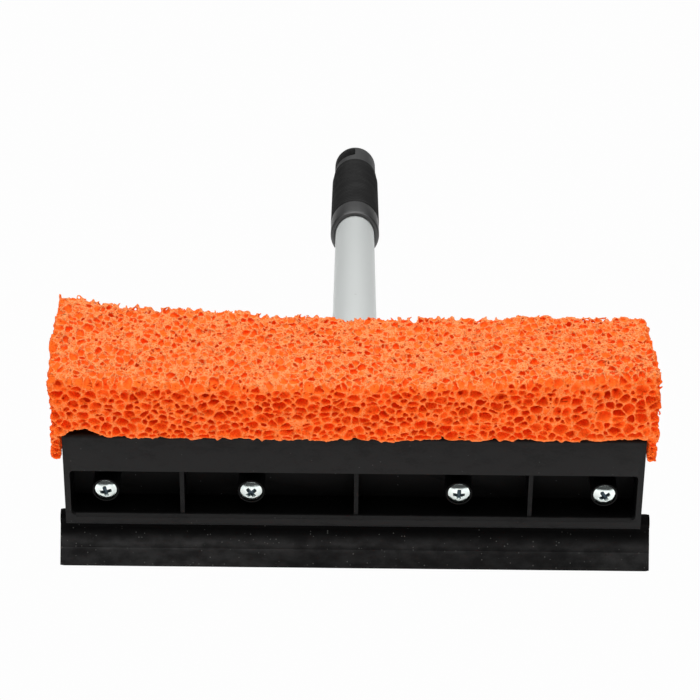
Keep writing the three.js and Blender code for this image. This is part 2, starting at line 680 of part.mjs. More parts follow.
function socketScrew() {
  const screw = piece(
    'socket_screw', tappingScrew(SOCKET_SCREW_TURN, SOCKET_SCREW_LENGTH), ZINC);
  screw.rotation.x = Math.PI / 2;
  screw.position.set(0, SOCKET_SCREW_AT, -SOCKET_SEAT - SEAT_GAP);
  return screw;
}

// ---- Handle tube ------------------------------------------------------------------------
function slidingTube() {
  const tube = cut(pipe(TUBE_BORE, TUBE_RADIUS, SEAT_GAP, TUBE_END), socketScrewHole());
  return piece('sliding_tube', geometryOf(tube), GREY_PAINT);
}

function tubePlug() {
  const plug = rod(TUBE_PLUG_RADIUS, SEAT_GAP, PLUG_LENGTH);
  return piece('tube_plug', geometryOf(cut(plug, socketScrewHole())), BLACK_PLASTIC);
}

// ---- Twist lock -------------------------------------------------------------------------
function lockSpindle() {
  const body = solid(turned([
    [0, FLANGE_AT - LOCK_PLUG_LENGTH], [TUBE_PLUG_RADIUS, FLANGE_AT - LOCK_PLUG_LENGTH],
    [TUBE_PLUG_RADIUS, FLANGE_AT], [TUBE_RADIUS, FLANGE_AT], [TUBE_RADIUS, FLANGE_AT + LOCK_FLANGE],
    [SPINDLE_RADIUS, FLANGE_AT + LOCK_FLANGE], [SPINDLE_RADIUS, SPINDLE_END], [0, SPINDLE_END],
  ]));
  const pilot = rod(
    STOP_SHANK_RADIUS + SCREW_HOLE_PLAY, SPINDLE_END - STOP_SHANK_LENGTH - 1, SPINDLE_END + 1,
    SCREW_SIDES);
  return piece('lock_spindle', geometryOf(cut(body, pilot)), WHITE_PLASTIC);
}

function lockCone() {
  const bore = SPINDLE_RADIUS + SLIP;
  return piece('lock_cone', turned([
    [bore, LOCK_AT], [CONE_LARGE_RADIUS, LOCK_AT], [CONE_SMALL_RADIUS, LOCK_AT + CONE_LENGTH],
    [bore, LOCK_AT + CONE_LENGTH], [bore, LOCK_AT],
  ]), BARE_STEEL);
}

function lockExpander() {
  const outside = GRIP_TUBE_BORE - SLIP;
  const bore = SPINDLE_RADIUS + SLIP;
  const end = LOCK_AT + EXPANDER_LENGTH;
  const wall = end - EXPANDER_END_WALL;
  const ring = solid(turned([
    [CONE_LARGE_RADIUS + SLIP, LOCK_AT], [outside, LOCK_AT], [outside, end],
    [bore, end], [bore, wall], [CONE_SMALL_RADIUS + SLIP, wall],
    [CONE_SMALL_RADIUS + SLIP, LOCK_AT + CONE_LENGTH], [CONE_LARGE_RADIUS + SLIP, LOCK_AT],
  ]));
  const slit = block(
    [-EXPANDER_SLIT / 2, LOCK_AT - 1, 0], [EXPANDER_SLIT / 2, end + 1, outside + 1]);
  return piece('lock_expander', geometryOf(cut(ring, slit)), WHITE_PLASTIC);
}

function lockStopScrew() {
  const seat = SPINDLE_END + SEAT_GAP;
  return piece('lock_stop_screw', turned([
    [0, seat - STOP_SHANK_LENGTH], [STOP_SHANK_RADIUS, seat - STOP_SHANK_LENGTH],
    [STOP_SHANK_RADIUS, seat], [STOP_HEAD_RADIUS, seat], [STOP_HEAD_RADIUS, seat + STOP_HEAD_HEIGHT],
    [0, seat + STOP_HEAD_HEIGHT],
  ], SCREW_SIDES), ZINC);
}

// ---- Grip -------------------------------------------------------------------------------
function gripTube() {
  return piece('grip_tube', geometryOf(
    pipe(GRIP_TUBE_BORE, GRIP_TUBE_RADIUS, COLLAR_STEP + SEAT_GAP, SLEEVE_END)), BARE_STEEL);
}

function mouthCollar() {
  const bore = TUBE_RADIUS + SLIP;
  const nose = arc(COLLAR_RADIUS - COLLAR_ROUND, COLLAR_AT + COLLAR_ROUND, COLLAR_ROUND, -90, 0);
  return piece('mouth_collar', turned([
    [bore, COLLAR_AT], ...nose, [COLLAR_RADIUS, COLLAR_END], [GRIP_SHELL_BORE, COLLAR_END],
    [GRIP_SHELL_BORE, COLLAR_STEP], [bore, COLLAR_STEP], [bore, COLLAR_AT],
  ]), GREY_PLASTIC);
}

function gripSleeve() {
  return piece('grip_sleeve', geometryOf(
    pipe(GRIP_SHELL_BORE, SLEEVE_RADIUS, SLEEVE_AT, SLEEVE_END)), BLACK_RUBBER);
}

// The hanging slot goes straight through the cap, square to the handle axis.
function hangingSlot() {
  const end = CAP_END - SLOT_END_RIM;
  const half = SLOT_WIDTH / 2;
  const outline = roundedRectangle(-half, end - SLOT_LENGTH, half, end, SLOT_CORNER);
  const slot = geometryOf(alongZ(outline, -CAP_RADIUS - 1, 2 * CAP_RADIUS + 2));
  slot.rotateY(THREE.MathUtils.degToRad(-SLOT_TURN));
  return solid(slot);
}

function endCap() {
  const plug = GRIP_TUBE_BORE - SLIP;
  const rim = arc(CAP_RADIUS - CAP_ROUND, CAP_END - CAP_ROUND, CAP_ROUND, 0, 90);
  const body = solid(turned([
    [0, CAP_AT - CAP_PLUG_LENGTH], [plug - 1, CAP_AT - CAP_PLUG_LENGTH],
    [plug, CAP_AT - CAP_PLUG_LENGTH + 2], [plug, CAP_AT], [CAP_RADIUS, CAP_AT],
    ...rim, [0, CAP_END],
  ]));
  return piece('end_cap', geometryOf(cut(body, hangingSlot())), GREY_PLASTIC);
}

// ---- Assembly ---------------------------------------------------------------------------
function headGroup() {
  const head = new THREE.Group();
  head.add(frontHousing(), rearHousing(), squeegeeBlade(), sponge(), ...housingScrews());
  return head;
}

function handleGroup() {
  const handle = new THREE.Group();
  handle.position.set(0, SOCKET_Y, SOCKET_Z);
  handle.rotation.x = -slope;
  handle.add(socketScrew(), slidingTube(), tubePlug());
  handle.add(lockSpindle(), lockCone(), lockExpander(), lockStopScrew());
  handle.add(gripTube(), mouthCollar(), gripSleeve(), endCap());
  return handle;
}

const tool = new THREE.Group();
tool.add(headGroup(), handleGroup());
tool.rotation.x = tip;

const object = new THREE.Group();
object.add(tool);
object.updateMatrixWorld(true);
const bounds = new THREE.Box3().setFromObject(object, true);
const middle = bounds.getCenter(new THREE.Vector3());
tool.position.set(-middle.x, -middle.y, -bounds.min.z);

export default object;
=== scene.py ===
"""Looks of a windscreen washing squeegee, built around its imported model.

Every sub-assembly is a class whose fields are its sizes in millimetres, taken in one of two
tilted frames. The head frame has X sideways, Y back from the front face and Z up that face.
The handle frame has Y along the handle from the bottom of its socket. Finished pieces lie at
the origin with their place in their mesh, in metres.
"""

from __future__ import annotations

import json
import logging
import math
from dataclasses import dataclass, field, replace
from enum import Enum
from typing import Any, ClassVar, Iterable, Sequence, Union

import bmesh
import bpy
import numpy as np
from mathutils import Matrix, Vector

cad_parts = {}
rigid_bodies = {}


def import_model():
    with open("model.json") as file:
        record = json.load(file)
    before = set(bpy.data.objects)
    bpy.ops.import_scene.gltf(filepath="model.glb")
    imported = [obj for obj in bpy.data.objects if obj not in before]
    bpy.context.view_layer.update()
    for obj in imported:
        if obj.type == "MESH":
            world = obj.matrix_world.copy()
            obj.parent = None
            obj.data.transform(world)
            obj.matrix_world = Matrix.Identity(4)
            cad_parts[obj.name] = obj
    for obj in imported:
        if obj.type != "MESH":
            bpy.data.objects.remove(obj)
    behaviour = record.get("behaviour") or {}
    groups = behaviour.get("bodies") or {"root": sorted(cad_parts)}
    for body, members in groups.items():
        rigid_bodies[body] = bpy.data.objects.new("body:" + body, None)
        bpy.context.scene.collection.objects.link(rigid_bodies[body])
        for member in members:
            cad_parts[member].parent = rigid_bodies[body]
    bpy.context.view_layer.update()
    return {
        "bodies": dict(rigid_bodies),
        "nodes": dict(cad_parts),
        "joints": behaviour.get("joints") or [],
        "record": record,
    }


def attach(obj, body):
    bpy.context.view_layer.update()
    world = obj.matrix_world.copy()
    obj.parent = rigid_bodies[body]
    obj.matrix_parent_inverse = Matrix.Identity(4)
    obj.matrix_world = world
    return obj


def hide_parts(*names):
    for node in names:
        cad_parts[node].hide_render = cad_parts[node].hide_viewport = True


log = logging.getLogger("squeegee")

MM = 0.001
HANDLE_SLOPE = 18.7  # degrees between the handle and the head's rearward direction
SEAT_GAP = 0.3  # between a piece and what it is seated on
FACE_HEIGHT = 37.6  # of the head's front face
HALF_HEAD = 100.0  # half of the head's width
MERGE_WITHIN = 2e-6  # metres within which corners of a CAD mesh are one
FLAT_ANGLE = 0.5  # degrees under which two faces of a CAD mesh are one
SHARP_ANGLE = 34.0  # degrees from which an edge is softened by a bevel

Triple = tuple[float, float, float]
Colour = Triple
Value = Union["Signal", float]
Frame = dict[str, Any]


class Body(Enum):
    """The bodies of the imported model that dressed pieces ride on."""

    HEAD = "head"
    GRIP = "grip"


class Slot(Enum):
    """The record's material slots."""

    HEAD_PLASTIC = "head_plastic"
    BLADE_RUBBER = "blade_rubber"
    SPONGE_FOAM = "sponge_foam"
    SCREW_ZINC = "screw_zinc"
    TUBE_PAINT = "tube_paint"
    BARE_STEEL = "bare_steel"
    LOCK_PLASTIC = "lock_plastic"
    GRIP_PLASTIC = "grip_plastic"
    SLEEVE_RUBBER = "sleeve_rubber"


# ---- Frames -----------------------------------------------------------------------------


@dataclass(frozen=True)
class TiltedFrame:
    """A frame turned about the sideways axis, with lengths in millimetres.

    Attributes:
        origin: Its origin in the row frame, in metres.
        pitch: Its turn about X in radians, positive where its rear end rises.
    """

    origin: Triple
    pitch: float

    def turn(self) -> np.ndarray:
        """Rows of the rotation (x, y, z) -> (x, y cos p - z sin p, y sin p + z cos p)."""
        c, s = math.cos(self.pitch), math.sin(self.pitch)
        return np.array([[1.0, 0.0, 0.0], [0.0, c, s], [0.0, -s, c]])

    def place(self, points: np.ndarray) -> np.ndarray:
        """Row-frame points in metres for points of this frame in millimetres."""
        return np.asarray(points, float) @ self.turn() * MM + np.asarray(self.origin)

    def local(self, points: np.ndarray) -> np.ndarray:
        """Points of this frame in millimetres for row-frame points in metres."""
        return (np.asarray(points, float) - np.asarray(self.origin)) @ self.turn().T / MM


def vertices_of(node: bpy.types.Object) -> np.ndarray:
    """The vertices of a CAD node, one row each, in metres."""
    flat = np.empty(len(node.data.vertices) * 3, np.float32)
    node.data.vertices.foreach_get("co", flat)
    return flat.reshape(-1, 3).astype(float)


def measured_frames(frame: Frame) -> tuple[TiltedFrame, TiltedFrame]:
    """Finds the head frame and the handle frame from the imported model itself.


    Returns:
        The head frame and the handle frame.
    """
    axis = next(j for j in frame["joints"] if j["name"] == "grip_twist")["axis"]
    dip = math.atan2(-axis[2], axis[1])
    turned_head = TiltedFrame((0.0, 0.0, 0.0), math.radians(HANDLE_SLOPE) - dip)
    lowest = turned_head.local(vertices_of(frame["nodes"]["front_housing"])).min(0)
    head = turned_head.place(np.array([0.0, lowest[1], lowest[2]]))
    turned_handle = TiltedFrame((0.0, 0.0, 0.0), -dip)
    tube = turned_handle.local(vertices_of(frame["nodes"]["sliding_tube"]))
    low, high = tube.min(0), tube.max(0)
    start = np.array([0.0, low[1] - SEAT_GAP, (low[2] + high[2]) / 2])
    handle = turned_handle.place(start)
    return (
        TiltedFrame(tuple(head), turned_head.pitch),
        TiltedFrame(tuple(handle), turned_handle.pitch),
    )


ROW_FRAME = TiltedFrame((0.0, 0.0, 0.0), 0.0)
BLACK = (0.0, 0.0, 0.0)


# ---- Shader graphs ----------------------------------------------------------------------


class Signal:
    """One output of a shader node, on which arithmetic adds Math nodes."""

    def __init__(self, graph: "Graph", socket: bpy.types.NodeSocket) -> None:
        """Keeps the socket and the graph that it belongs to."""
        self.graph = graph
        self.socket = socket

    def __add__(self, other: Value) -> "Signal":
        """self + other."""
        return self.graph.math("ADD", self, other)

    def __radd__(self, other: Value) -> "Signal":
        """other + self."""
        return self.graph.math("ADD", other, self)

    def __sub__(self, other: Value) -> "Signal":
        """self - other."""
        return self.graph.math("SUBTRACT", self, other)

    def __rsub__(self, other: Value) -> "Signal":
        """other - self."""
        return self.graph.math("SUBTRACT", other, self)

    def __mul__(self, other: Value) -> "Signal":
        """self * other."""
        return self.graph.math("MULTIPLY", self, other)

    def __rmul__(self, other: Value) -> "Signal":
        """other * self."""
        return self.graph.math("MULTIPLY", other, self)

    def __lt__(self, other: Value) -> "Signal":
        """1 where self is below other."""
        return self.graph.math("LESS_THAN", self, other)


class Graph:
    """The node tree of one material, written as expressions."""

    def __init__(self, name: str) -> None:
        """Starts an empty material of that name."""
        self.material = bpy.data.materials.new(name)
        self.material.use_nodes = True
        self.tree = self.material.node_tree
        self.tree.nodes.clear()

    def node(
        self,
        kind: str,
        settings: dict[str, Any] | None = None,
        sockets: dict[str, Any] | None = None,
    ) -> dict[str, Signal]:
        """Adds a node.

        Args:
            kind: The node's type, such as ShaderNodeTexNoise.
            settings: Its properties, set before its sockets.
            sockets: What its inputs hold, by name or by # and their number. A Signal makes a
                link.

        Returns:
            Its outputs by name.
        """
        made = self.tree.nodes.new(kind)
        for key, value in (settings or {}).items():
            setattr(made, key, value)
        for key, value in (sockets or {}).items():
            if key.startswith("#"):
                target = made.inputs[int(key[1:])]
            else:
                target = next(s for s in made.inputs if s.name == key and s.enabled)
            if isinstance(value, Signal):
                self.tree.links.new(value.socket, target)
            else:
                target.default_value = value
        return {out.name: Signal(self, out) for out in made.outputs if out.enabled}

    def math(self, operation: str, left: Value, right: Value) -> Signal:
        """One Math node on two values."""
        return self.node(
            "ShaderNodeMath", {"operation": operation}, {"#0": left, "#1": right}
        )["Value"]

    def between(self, value: Signal, low: float, high: float) -> Signal:
        """0 where value is at low, 1 where it is at high, smooth and clamped in between."""
        return self.node(
            "ShaderNodeMapRange",
            {"interpolation_type": "SMOOTHSTEP"},
            {"Value": value, "From Min": low, "From Max": high},
        )["Result"]

    def mix(self, first: Any, second: Any, factor: Value) -> Signal:
        """The first colour where factor is 0 and the second where it is 1."""
        colours = [c if isinstance(c, Signal) else (*c, 1.0) for c in (first, second)]
        return self.node(
            "ShaderNodeMix",
            {"data_type": "RGBA"},
            {"Factor": factor, "A": colours[0], "B": colours[1]},
        )["Result"]

    def clouded(self, colour: Colour, cloud: Signal, dark: float, pale: float) -> Signal:
        """The colour, dark times as bright where cloud is 0 and pale times where it is 1."""
        return self.mix(scaled(colour, dark), scaled(colour, pale), cloud)

    def attribute(self, name: str) -> Signal:
        """What the piece's vertices hold under that name."""
        return self.node("ShaderNodeAttribute", {"attribute_name": name})["Fac"]

    def place(self, stretch: Triple = (1.0, 1.0, 1.0), pitch: float = 0.0) -> Signal:
        """Object coordinates, turned by pitch about X and stretched."""
        spot = self.node("ShaderNodeTexCoord")["Object"]
        return self.node(
            "ShaderNodeMapping",
            {"vector_type": "POINT"},
            {"Vector": spot, "Rotation": (-pitch, 0.0, 0.0), "Scale": stretch},
        )["Vector"]

    def position(self, frame: TiltedFrame) -> tuple[Signal, Signal, Signal]:
        """Where a point lies in a tilted frame, as x, y and z in metres."""
        turned = self.place(pitch=frame.pitch)
        start = frame.turn() @ np.asarray(frame.origin)
        parts = self.node("ShaderNodeSeparateXYZ", None, {"Vector": turned})
        return tuple(parts[axis] - float(start[at]) for at, axis in enumerate("XYZ"))

    def noise(self, place: Signal, scale: float, detail: float = 2.0) -> Signal:
        """Noise about 0.5, with features of about 1 / scale metres."""
        return self.node(
            "ShaderNodeTexNoise",
            {"noise_dimensions": "3D"},
            {"Vector": place, "Scale": scale, "Detail": detail},
        )["Fac"]

    def specks(self, place: Signal, scale: float, share: float, size: float) -> Signal:
        """Sparse round specks.

        Args:
            place: Where they lie.
            scale: Cells per metre, each of which may hold one speck.
            share: Share of the cells that hold one.
            size: Radius of a speck in cell widths.

        Returns:
            1 inside a speck and 0 outside.
        """
        cells = self.node(
            "ShaderNodeTexVoronoi", {"feature": "F1"}, {"Vector": place, "Scale": scale}
        )
        pick = self.node("ShaderNodeSeparateColor", None, {"Color": cells["Color"]})["Red"]
        return (cells["Distance"] < size) * (pick < share)

    def surface(
        self,
        colour: Any,
        roughness: Value,
        metallic: float = 0.0,
        height: Signal | None = None,
        depth: float = 0.0,
        fixed: dict[str, Any] | None = None,
    ) -> bpy.types.Material:
        """Ends the graph in one Principled surface.

        Args:
            colour: Base colour, a Signal or a colour.
            roughness: Roughness, a Signal or a number.
            metallic: 0 or 1.
            height: Relief from 0 to 1, if it has one.
            depth: How deep that relief is, in metres.
            fixed: Other sockets of the shader and their constant values.

        Returns:
            The material.
        """
        sockets = {
            "Base Color": colour if isinstance(colour, Signal) else (*colour, 1.0),
            "Roughness": roughness,
            "Metallic": metallic,
            **(fixed or {}),
        }
        if height is not None:
            sockets["Normal"] = self.node(
                "ShaderNodeBump", None, {"Height": height, "Distance": depth}
            )["Normal"]
        shader = self.node("ShaderNodeBsdfPrincipled", None, sockets)["BSDF"]
        self.node("ShaderNodeOutputMaterial", None, {"Surface": shader})
        return self.material


def scaled(colour: Colour, factor: float) -> Colour:
    """The colour, lighter or darker by a factor."""
    return tuple(channel * factor for channel in colour)


# ---- Finishes ---------------------------------------------------------------------------


@dataclass(frozen=True)
class MouldedPlastic:
    """Injection-moulded plastic: fine grain, uneven gloss and a few specks of dust.

    Attributes:
        name: The material's name.
        colour: Its colour.
        roughness: Its mean roughness.
        specular: The strength of its reflection.
        dust: Share of the surface's cells that hold a speck.
        dust_colour: The colour of the specks.
        grain: Depth of the moulded grain in metres.
    """

    UNEVEN: ClassVar[float] = 0.12
    DUST_DULLS: ClassVar[float] = 0.15

    name: str
    colour: Colour
    roughness: float
    specular: float = 0.5
    dust: float = 0.02
    dust_colour: Colour = (0.05, 0.05, 0.05)
    grain: float = 0.00002

    def material(self) -> bpy.types.Material:
        """Builds the material."""
        graph = Graph(self.name)
        place = graph.place()
        cloud = graph.noise(place, scale=45.0, detail=4.0)
        grain = graph.noise(place, scale=2400.0, detail=1.0)
        dust = graph.specks(place, scale=1100.0, share=self.dust, size=0.2)
        colour = graph.clouded(self.colour, cloud, dark=0.8, pale=1.25)
        colour = self.toned(graph, colour, cloud)
        colour = graph.mix(colour, self.dust_colour, dust)
        smoothest = self.roughness - self.UNEVEN / 2
        return graph.surface(
            colour,
            smoothest + self.UNEVEN * cloud + self.DUST_DULLS * dust,
            height=grain,
            depth=self.grain,
            fixed={"Specular IOR Level": self.specular},
        )

    def toned(self, graph: Graph, colour: Signal, cloud: Signal) -> Signal:
        """The colour as it is; a kind of plastic may change it from place to place."""
        return colour


@dataclass(frozen=True)
class SmearedShadedPlastic(MouldedPlastic):
    """Plastic with faint smears that lighten its outer face only: partly smears, partly painted
    shade that keeps its hollows, and its top under the sponge, darker.

    Attributes:
        smear_and_face_light: Colour of the smears, which also paints the outer face lighter
            than its shaded hollows.
        frame: The piece's frame, whose front face is at y = 0.
    """

    smear_and_face_light: Colour = (0.013, 0.013, 0.013)
    frame: TiltedFrame = ROW_FRAME

    def toned(self, graph: Graph, colour: Signal, cloud: Signal) -> Signal:
        """Lighter smears on the outer face but not in its hollows, fewest along its top:
        painted shade in the hollows and under the sponge.

        The smear colour's share is face * shade * (0.6 cloud + 1.5 smear + 0.9 grain - 0.5).
        """
        _, back, up = graph.position(self.frame)
        smear = graph.noise(graph.place((0.4, 1.0, 1.0)), scale=350.0, detail=6.0)
        grain = graph.noise(graph.place((0.6, 1.0, 1.0)), scale=1500.0, detail=2.0)
        # Painted shade: face keeps the recess at the darkest colour, and shade darkens the face
        # towards its top, under the sponge.
        face = 1 - graph.between(back, low=0.0008, high=0.0022)
        shade = 1.1 - 0.26 * graph.between(up, low=0.024, high=0.038)
        worn = 0.6 * cloud + 1.5 * smear + 0.9 * grain - 0.5
        return graph.mix(colour, self.smear_and_face_light, face * shade * worn)


@dataclass(frozen=True)
class SlottedPlastic(MouldedPlastic):
    """Plastic of a turned piece, with painted shade in the slots of its round side.

    Attributes:
        frame: The piece's frame, with its axis along Y.
        skin: Radius below which it takes a painted shade, in metres.
    """

    FADE: ClassVar[float] = 0.0008

    frame: TiltedFrame = ROW_FRAME
    skin: float = 0.0

    def toned(self, graph: Graph, colour: Signal, cloud: Signal) -> Signal:
        """A painted shade, nearly black, below its round skin."""
        across, _, up = graph.position(self.frame)
        reach = graph.math("POWER", across * across + up * up, 0.5)
        # Painted shade in the slots: nearly black below the round skin.
        inner = 1 - graph.between(reach, self.skin - self.FADE, self.skin)
        return graph.mix(colour, (0.001, 0.001, 0.001), inner)


@dataclass(frozen=True)
class DustyRubber:
    """Moulded rubber with a dull film, fine streaks along it and clinging dust.

    Attributes:
        name: The material's name.
        colour: The clean rubber.
        film_colour: The rubber under a dull film.
        film: How strongly the film shows, from 0 to 1.
        streak: Stretch of the streaks, small along the piece.
        dust: Share of the surface's cells that hold a speck.
        follows_film_and_shade: Whether the film is shared out by the piece's film attribute,
            which is partly film and partly painted shade where it drops to 0.
        specular: The strength of its reflection.
        blot: How strongly the film varies in small blots.
    """

    FILM_AND_SHADE_ATTRIBUTE: ClassVar[str] = "film"
    DUST_COLOUR: ClassVar[Colour] = (0.085, 0.085, 0.08)

    name: str
    colour: Colour
    film_colour: Colour
    film: float
    streak: Triple
    dust: float
    follows_film_and_shade: bool = False
    specular: float = 0.4
    blot: float = 0.0

    def material(self) -> bpy.types.Material:
        """Builds the material."""
        graph = Graph(self.name)
        place = graph.place()
        film = graph.noise(graph.place(self.streak), scale=60.0, detail=6.0)
        film = graph.between(film, low=0.34, high=0.68)
        blots = graph.noise(graph.place((0.6, 1.0, 1.0)), scale=300.0, detail=5.0)
        blots = graph.between(blots, low=0.3, high=0.7)
        patches = graph.noise(place, scale=40.0, detail=3.0)
        patches = graph.between(patches, low=0.3, high=0.55)
        fine = graph.noise(place, scale=1500.0, detail=2.0)
        dust = graph.specks(place, scale=1000.0, share=self.dust, size=0.21) * patches
        share = self.film * (0.4 + 0.6 * film) * (1 + self.blot * (blots + 0.5 * fine - 0.75))
        # The film attribute is also painted shade where it falls to 0.
        if self.follows_film_and_shade:
            share = share * graph.attribute(self.FILM_AND_SHADE_ATTRIBUTE)
        colour = graph.mix(self.colour, self.film_colour, share)
        colour = graph.mix(colour, self.DUST_COLOUR, dust)
        return graph.surface(
            colour,
            0.6 + 0.2 * film + 0.1 * dust,
            height=fine,
            depth=0.00003,
            fixed={"Specular IOR Level": self.specular},
        )


@dataclass(frozen=True)
class SpongeFoam:
    """Cellular foam, pale at the cut skin and redder down in its cells: a painted tint and glow
    for light that bounces and scatters in the foam.

    Attributes:
        name: The material's name.
        skin: Colour of the cell walls at the cut skin.
        inside: Colour a little way down and in the fine bubbles, a painted tint for light that
            bounces in the foam.
        deep: Colour at the bottom of the cells, a deeper painted tint of that kind.
        painted_glow: A glow painted into the cells, most near the skin, for light that would
            pass through the thin walls.
        bubbles: How many of the finest bubbles there are to a metre.
    """

    name: str
    skin: Colour
    inside: Colour
    deep: Colour
    painted_glow: Colour = (0.13, 0.0135, 0.001)
    bubbles: float = 1150.0

    def material(self) -> bpy.types.Material:
        """Builds the material.

        The piece's depth attribute, in millimetres, picks the colour: its mottled value from
        skin to inside and to deep, and its plain value how much glow is painted in.
        """
        graph = Graph(self.name)
        place = graph.place()
        depth = graph.attribute(Sponge.DEPTH_ATTRIBUTE)
        mottle = graph.noise(place, scale=900.0, detail=3.0)
        bubbles = graph.node(
            "ShaderNodeTexVoronoi",
            {"feature": "DISTANCE_TO_EDGE"},
            {"Vector": place, "Scale": self.bubbles},
        )["Distance"]
        web = 1 - graph.between(bubbles, low=0.03, high=0.3)
        sunk = depth + 0.5 * (mottle - 0.5)
        # Painted light: the inside and deep colours, in the fine bubbles and further down,
        # stand for light that bounces and scatters in the foam.
        colour = graph.mix(self.skin, self.inside, 0.95 * (1 - web))
        colour = graph.mix(colour, self.inside, graph.between(sunk, low=0.08, high=0.8))
        colour = graph.mix(colour, self.deep, graph.between(sunk, low=1.0, high=4.0))
        # A painted glow, strongest a little way into the cells, stands for light through the
        # thin walls.
        far = graph.between(depth, low=1.1, high=2.2)
        near = graph.between(depth, low=0.15, high=0.75) * (1 - 0.55 * far)
        painted_glow = graph.mix(BLACK, self.painted_glow, near)
        return graph.surface(
            colour,
            0.85,
            height=0.6 * web + 0.4 * mottle,
            depth=0.00026,
            fixed={
                "Specular IOR Level": 0.2,
                "Emission Color": painted_glow,
                "Emission Strength": 1.0,
            },
        )


@dataclass(frozen=True)
class SatinPaint:
    """Sprayed paint on a drawn tube: a faint ripple and small rubs.

    Attributes:
        name: The material's name.
        colour: Its colour.
        roughness: Its mean roughness.
    """

    UNEVEN: ClassVar[float] = 0.1

    name: str
    colour: Colour
    roughness: float

    def material(self) -> bpy.types.Material:
        """Builds the material."""
        graph = Graph(self.name)
        place = graph.place()
        ripple = graph.noise(place, scale=700.0, detail=2.0)
        cloud = graph.noise(graph.place((1.0, 0.15, 1.0)), scale=90.0, detail=4.0)
        rubs = graph.specks(place, scale=160.0, share=0.05, size=0.1)
        colour = graph.clouded(self.colour, cloud, dark=0.97, pale=1.03)
        colour = graph.mix(colour, scaled(self.colour, 0.8), rubs)
        return graph.surface(
            colour,
            self.roughness - self.UNEVEN / 2 + self.UNEVEN * cloud,
            height=ripple,
            depth=0.00001,
        )


@dataclass(frozen=True)
class BrightMetal:
    """Bare or plated metal with fine brushing and a slight stain.

    Attributes:
        name: The material's name.
        colour: Its colour.
        roughness: Its mean roughness.
        stain: How dark the stains are, from 0 to 1.
        recess_colour: Its darker colour where the piece's in_recess attribute is 1.
    """

    name: str
    colour: Colour
    roughness: float
    stain: float = 0.2
    recess_colour: Colour = (0.045, 0.065, 0.08)

    def material(self) -> bpy.types.Material:
        """Builds the material."""
        graph = Graph(self.name)
        place = graph.place()
        stain = graph.noise(place, scale=500.0, detail=4.0)
        brush = graph.noise(graph.place((1.0, 0.08, 1.0)), scale=3000.0, detail=2.0)
        dark = scaled(self.colour, 1.0 - self.stain)
        # Darker and rougher in the screw's cross recess.
        in_recess = graph.between(graph.attribute(Screw.RECESS_ATTRIBUTE), low=0.15, high=0.8)
        colour = graph.mix(self.colour, dark, graph.between(stain, low=0.45, high=0.75))
        colour = graph.mix(colour, self.recess_colour, in_recess)
        dull = graph.between(stain, low=0.5, high=0.8)
        roughness = self.roughness + 0.15 * dull + 0.2 * in_recess
        return graph.surface(colour, roughness, 1.0, height=brush, depth=0.000004)


FRONT_PLASTIC = SmearedShadedPlastic("front_black_plastic", (0.002, 0.002, 0.002), 0.45, 0.08)
HEAD_PLASTIC = MouldedPlastic("head_black_plastic", (0.005, 0.005, 0.005), 0.4, 0.3)
GRIP_PLASTIC = MouldedPlastic("grip_grey_plastic", (0.012, 0.0123, 0.0126), 0.42, 0.88, 0.01)
CAP_PLASTIC = SlottedPlastic("cap_grey_plastic", (0.012, 0.0123, 0.0126), 0.42, 1.0, 0.01)
LOCK_PLASTIC = MouldedPlastic("lock_white_plastic", (0.65, 0.65, 0.61), 0.4, 0.5, 0.01)
BLADE_RUBBER = DustyRubber(
    "blade_black_rubber",
    (0.0015, 0.0015, 0.0015),
    (0.034, 0.034, 0.034),
    0.9,
    (0.25, 1.0, 1.0),
    0.14,
    follows_film_and_shade=True,
    specular=0.04,
    blot=0.75,
)
SLEEVE_RUBBER = DustyRubber(
    "sleeve_black_foam",
    (0.008, 0.008, 0.008),
    (0.011, 0.011, 0.011),
    0.4,
    (1.0, 1.0, 1.0),
    0.01,
    specular=0.12,
)
SPONGE_FOAM = SpongeFoam(
    "sponge_orange_foam", (0.96, 0.325, 0.113), (0.985, 0.152, 0.012), (0.985, 0.11, 0.004)
)
TUBE_PAINT = SatinPaint("tube_silver_paint", (0.556, 0.579, 0.570), 0.5)
SCREW_ZINC = BrightMetal("screw_zinc_plate", (0.64, 0.71, 0.69), 0.13, 0.12)
BARE_STEEL = BrightMetal("bare_steel", (0.56, 0.57, 0.58), 0.3)


# ---- Meshes -----------------------------------------------------------------------------


def linked(name: str, data: bpy.types.ID) -> bpy.types.Object:
    """Puts a mesh, light or camera into the scene as an object."""
    made = bpy.data.objects.new(name, data)
    bpy.context.scene.collection.objects.link(made)
    return made


def written(piece: bpy.types.Object, name: str, values: np.ndarray) -> None:
    """Writes one value for each vertex into an attribute of the piece."""
    layer = piece.data.attributes.new(name, "FLOAT", "POINT")
    layer.data.foreach_set("value", values.astype(np.float32).ravel())


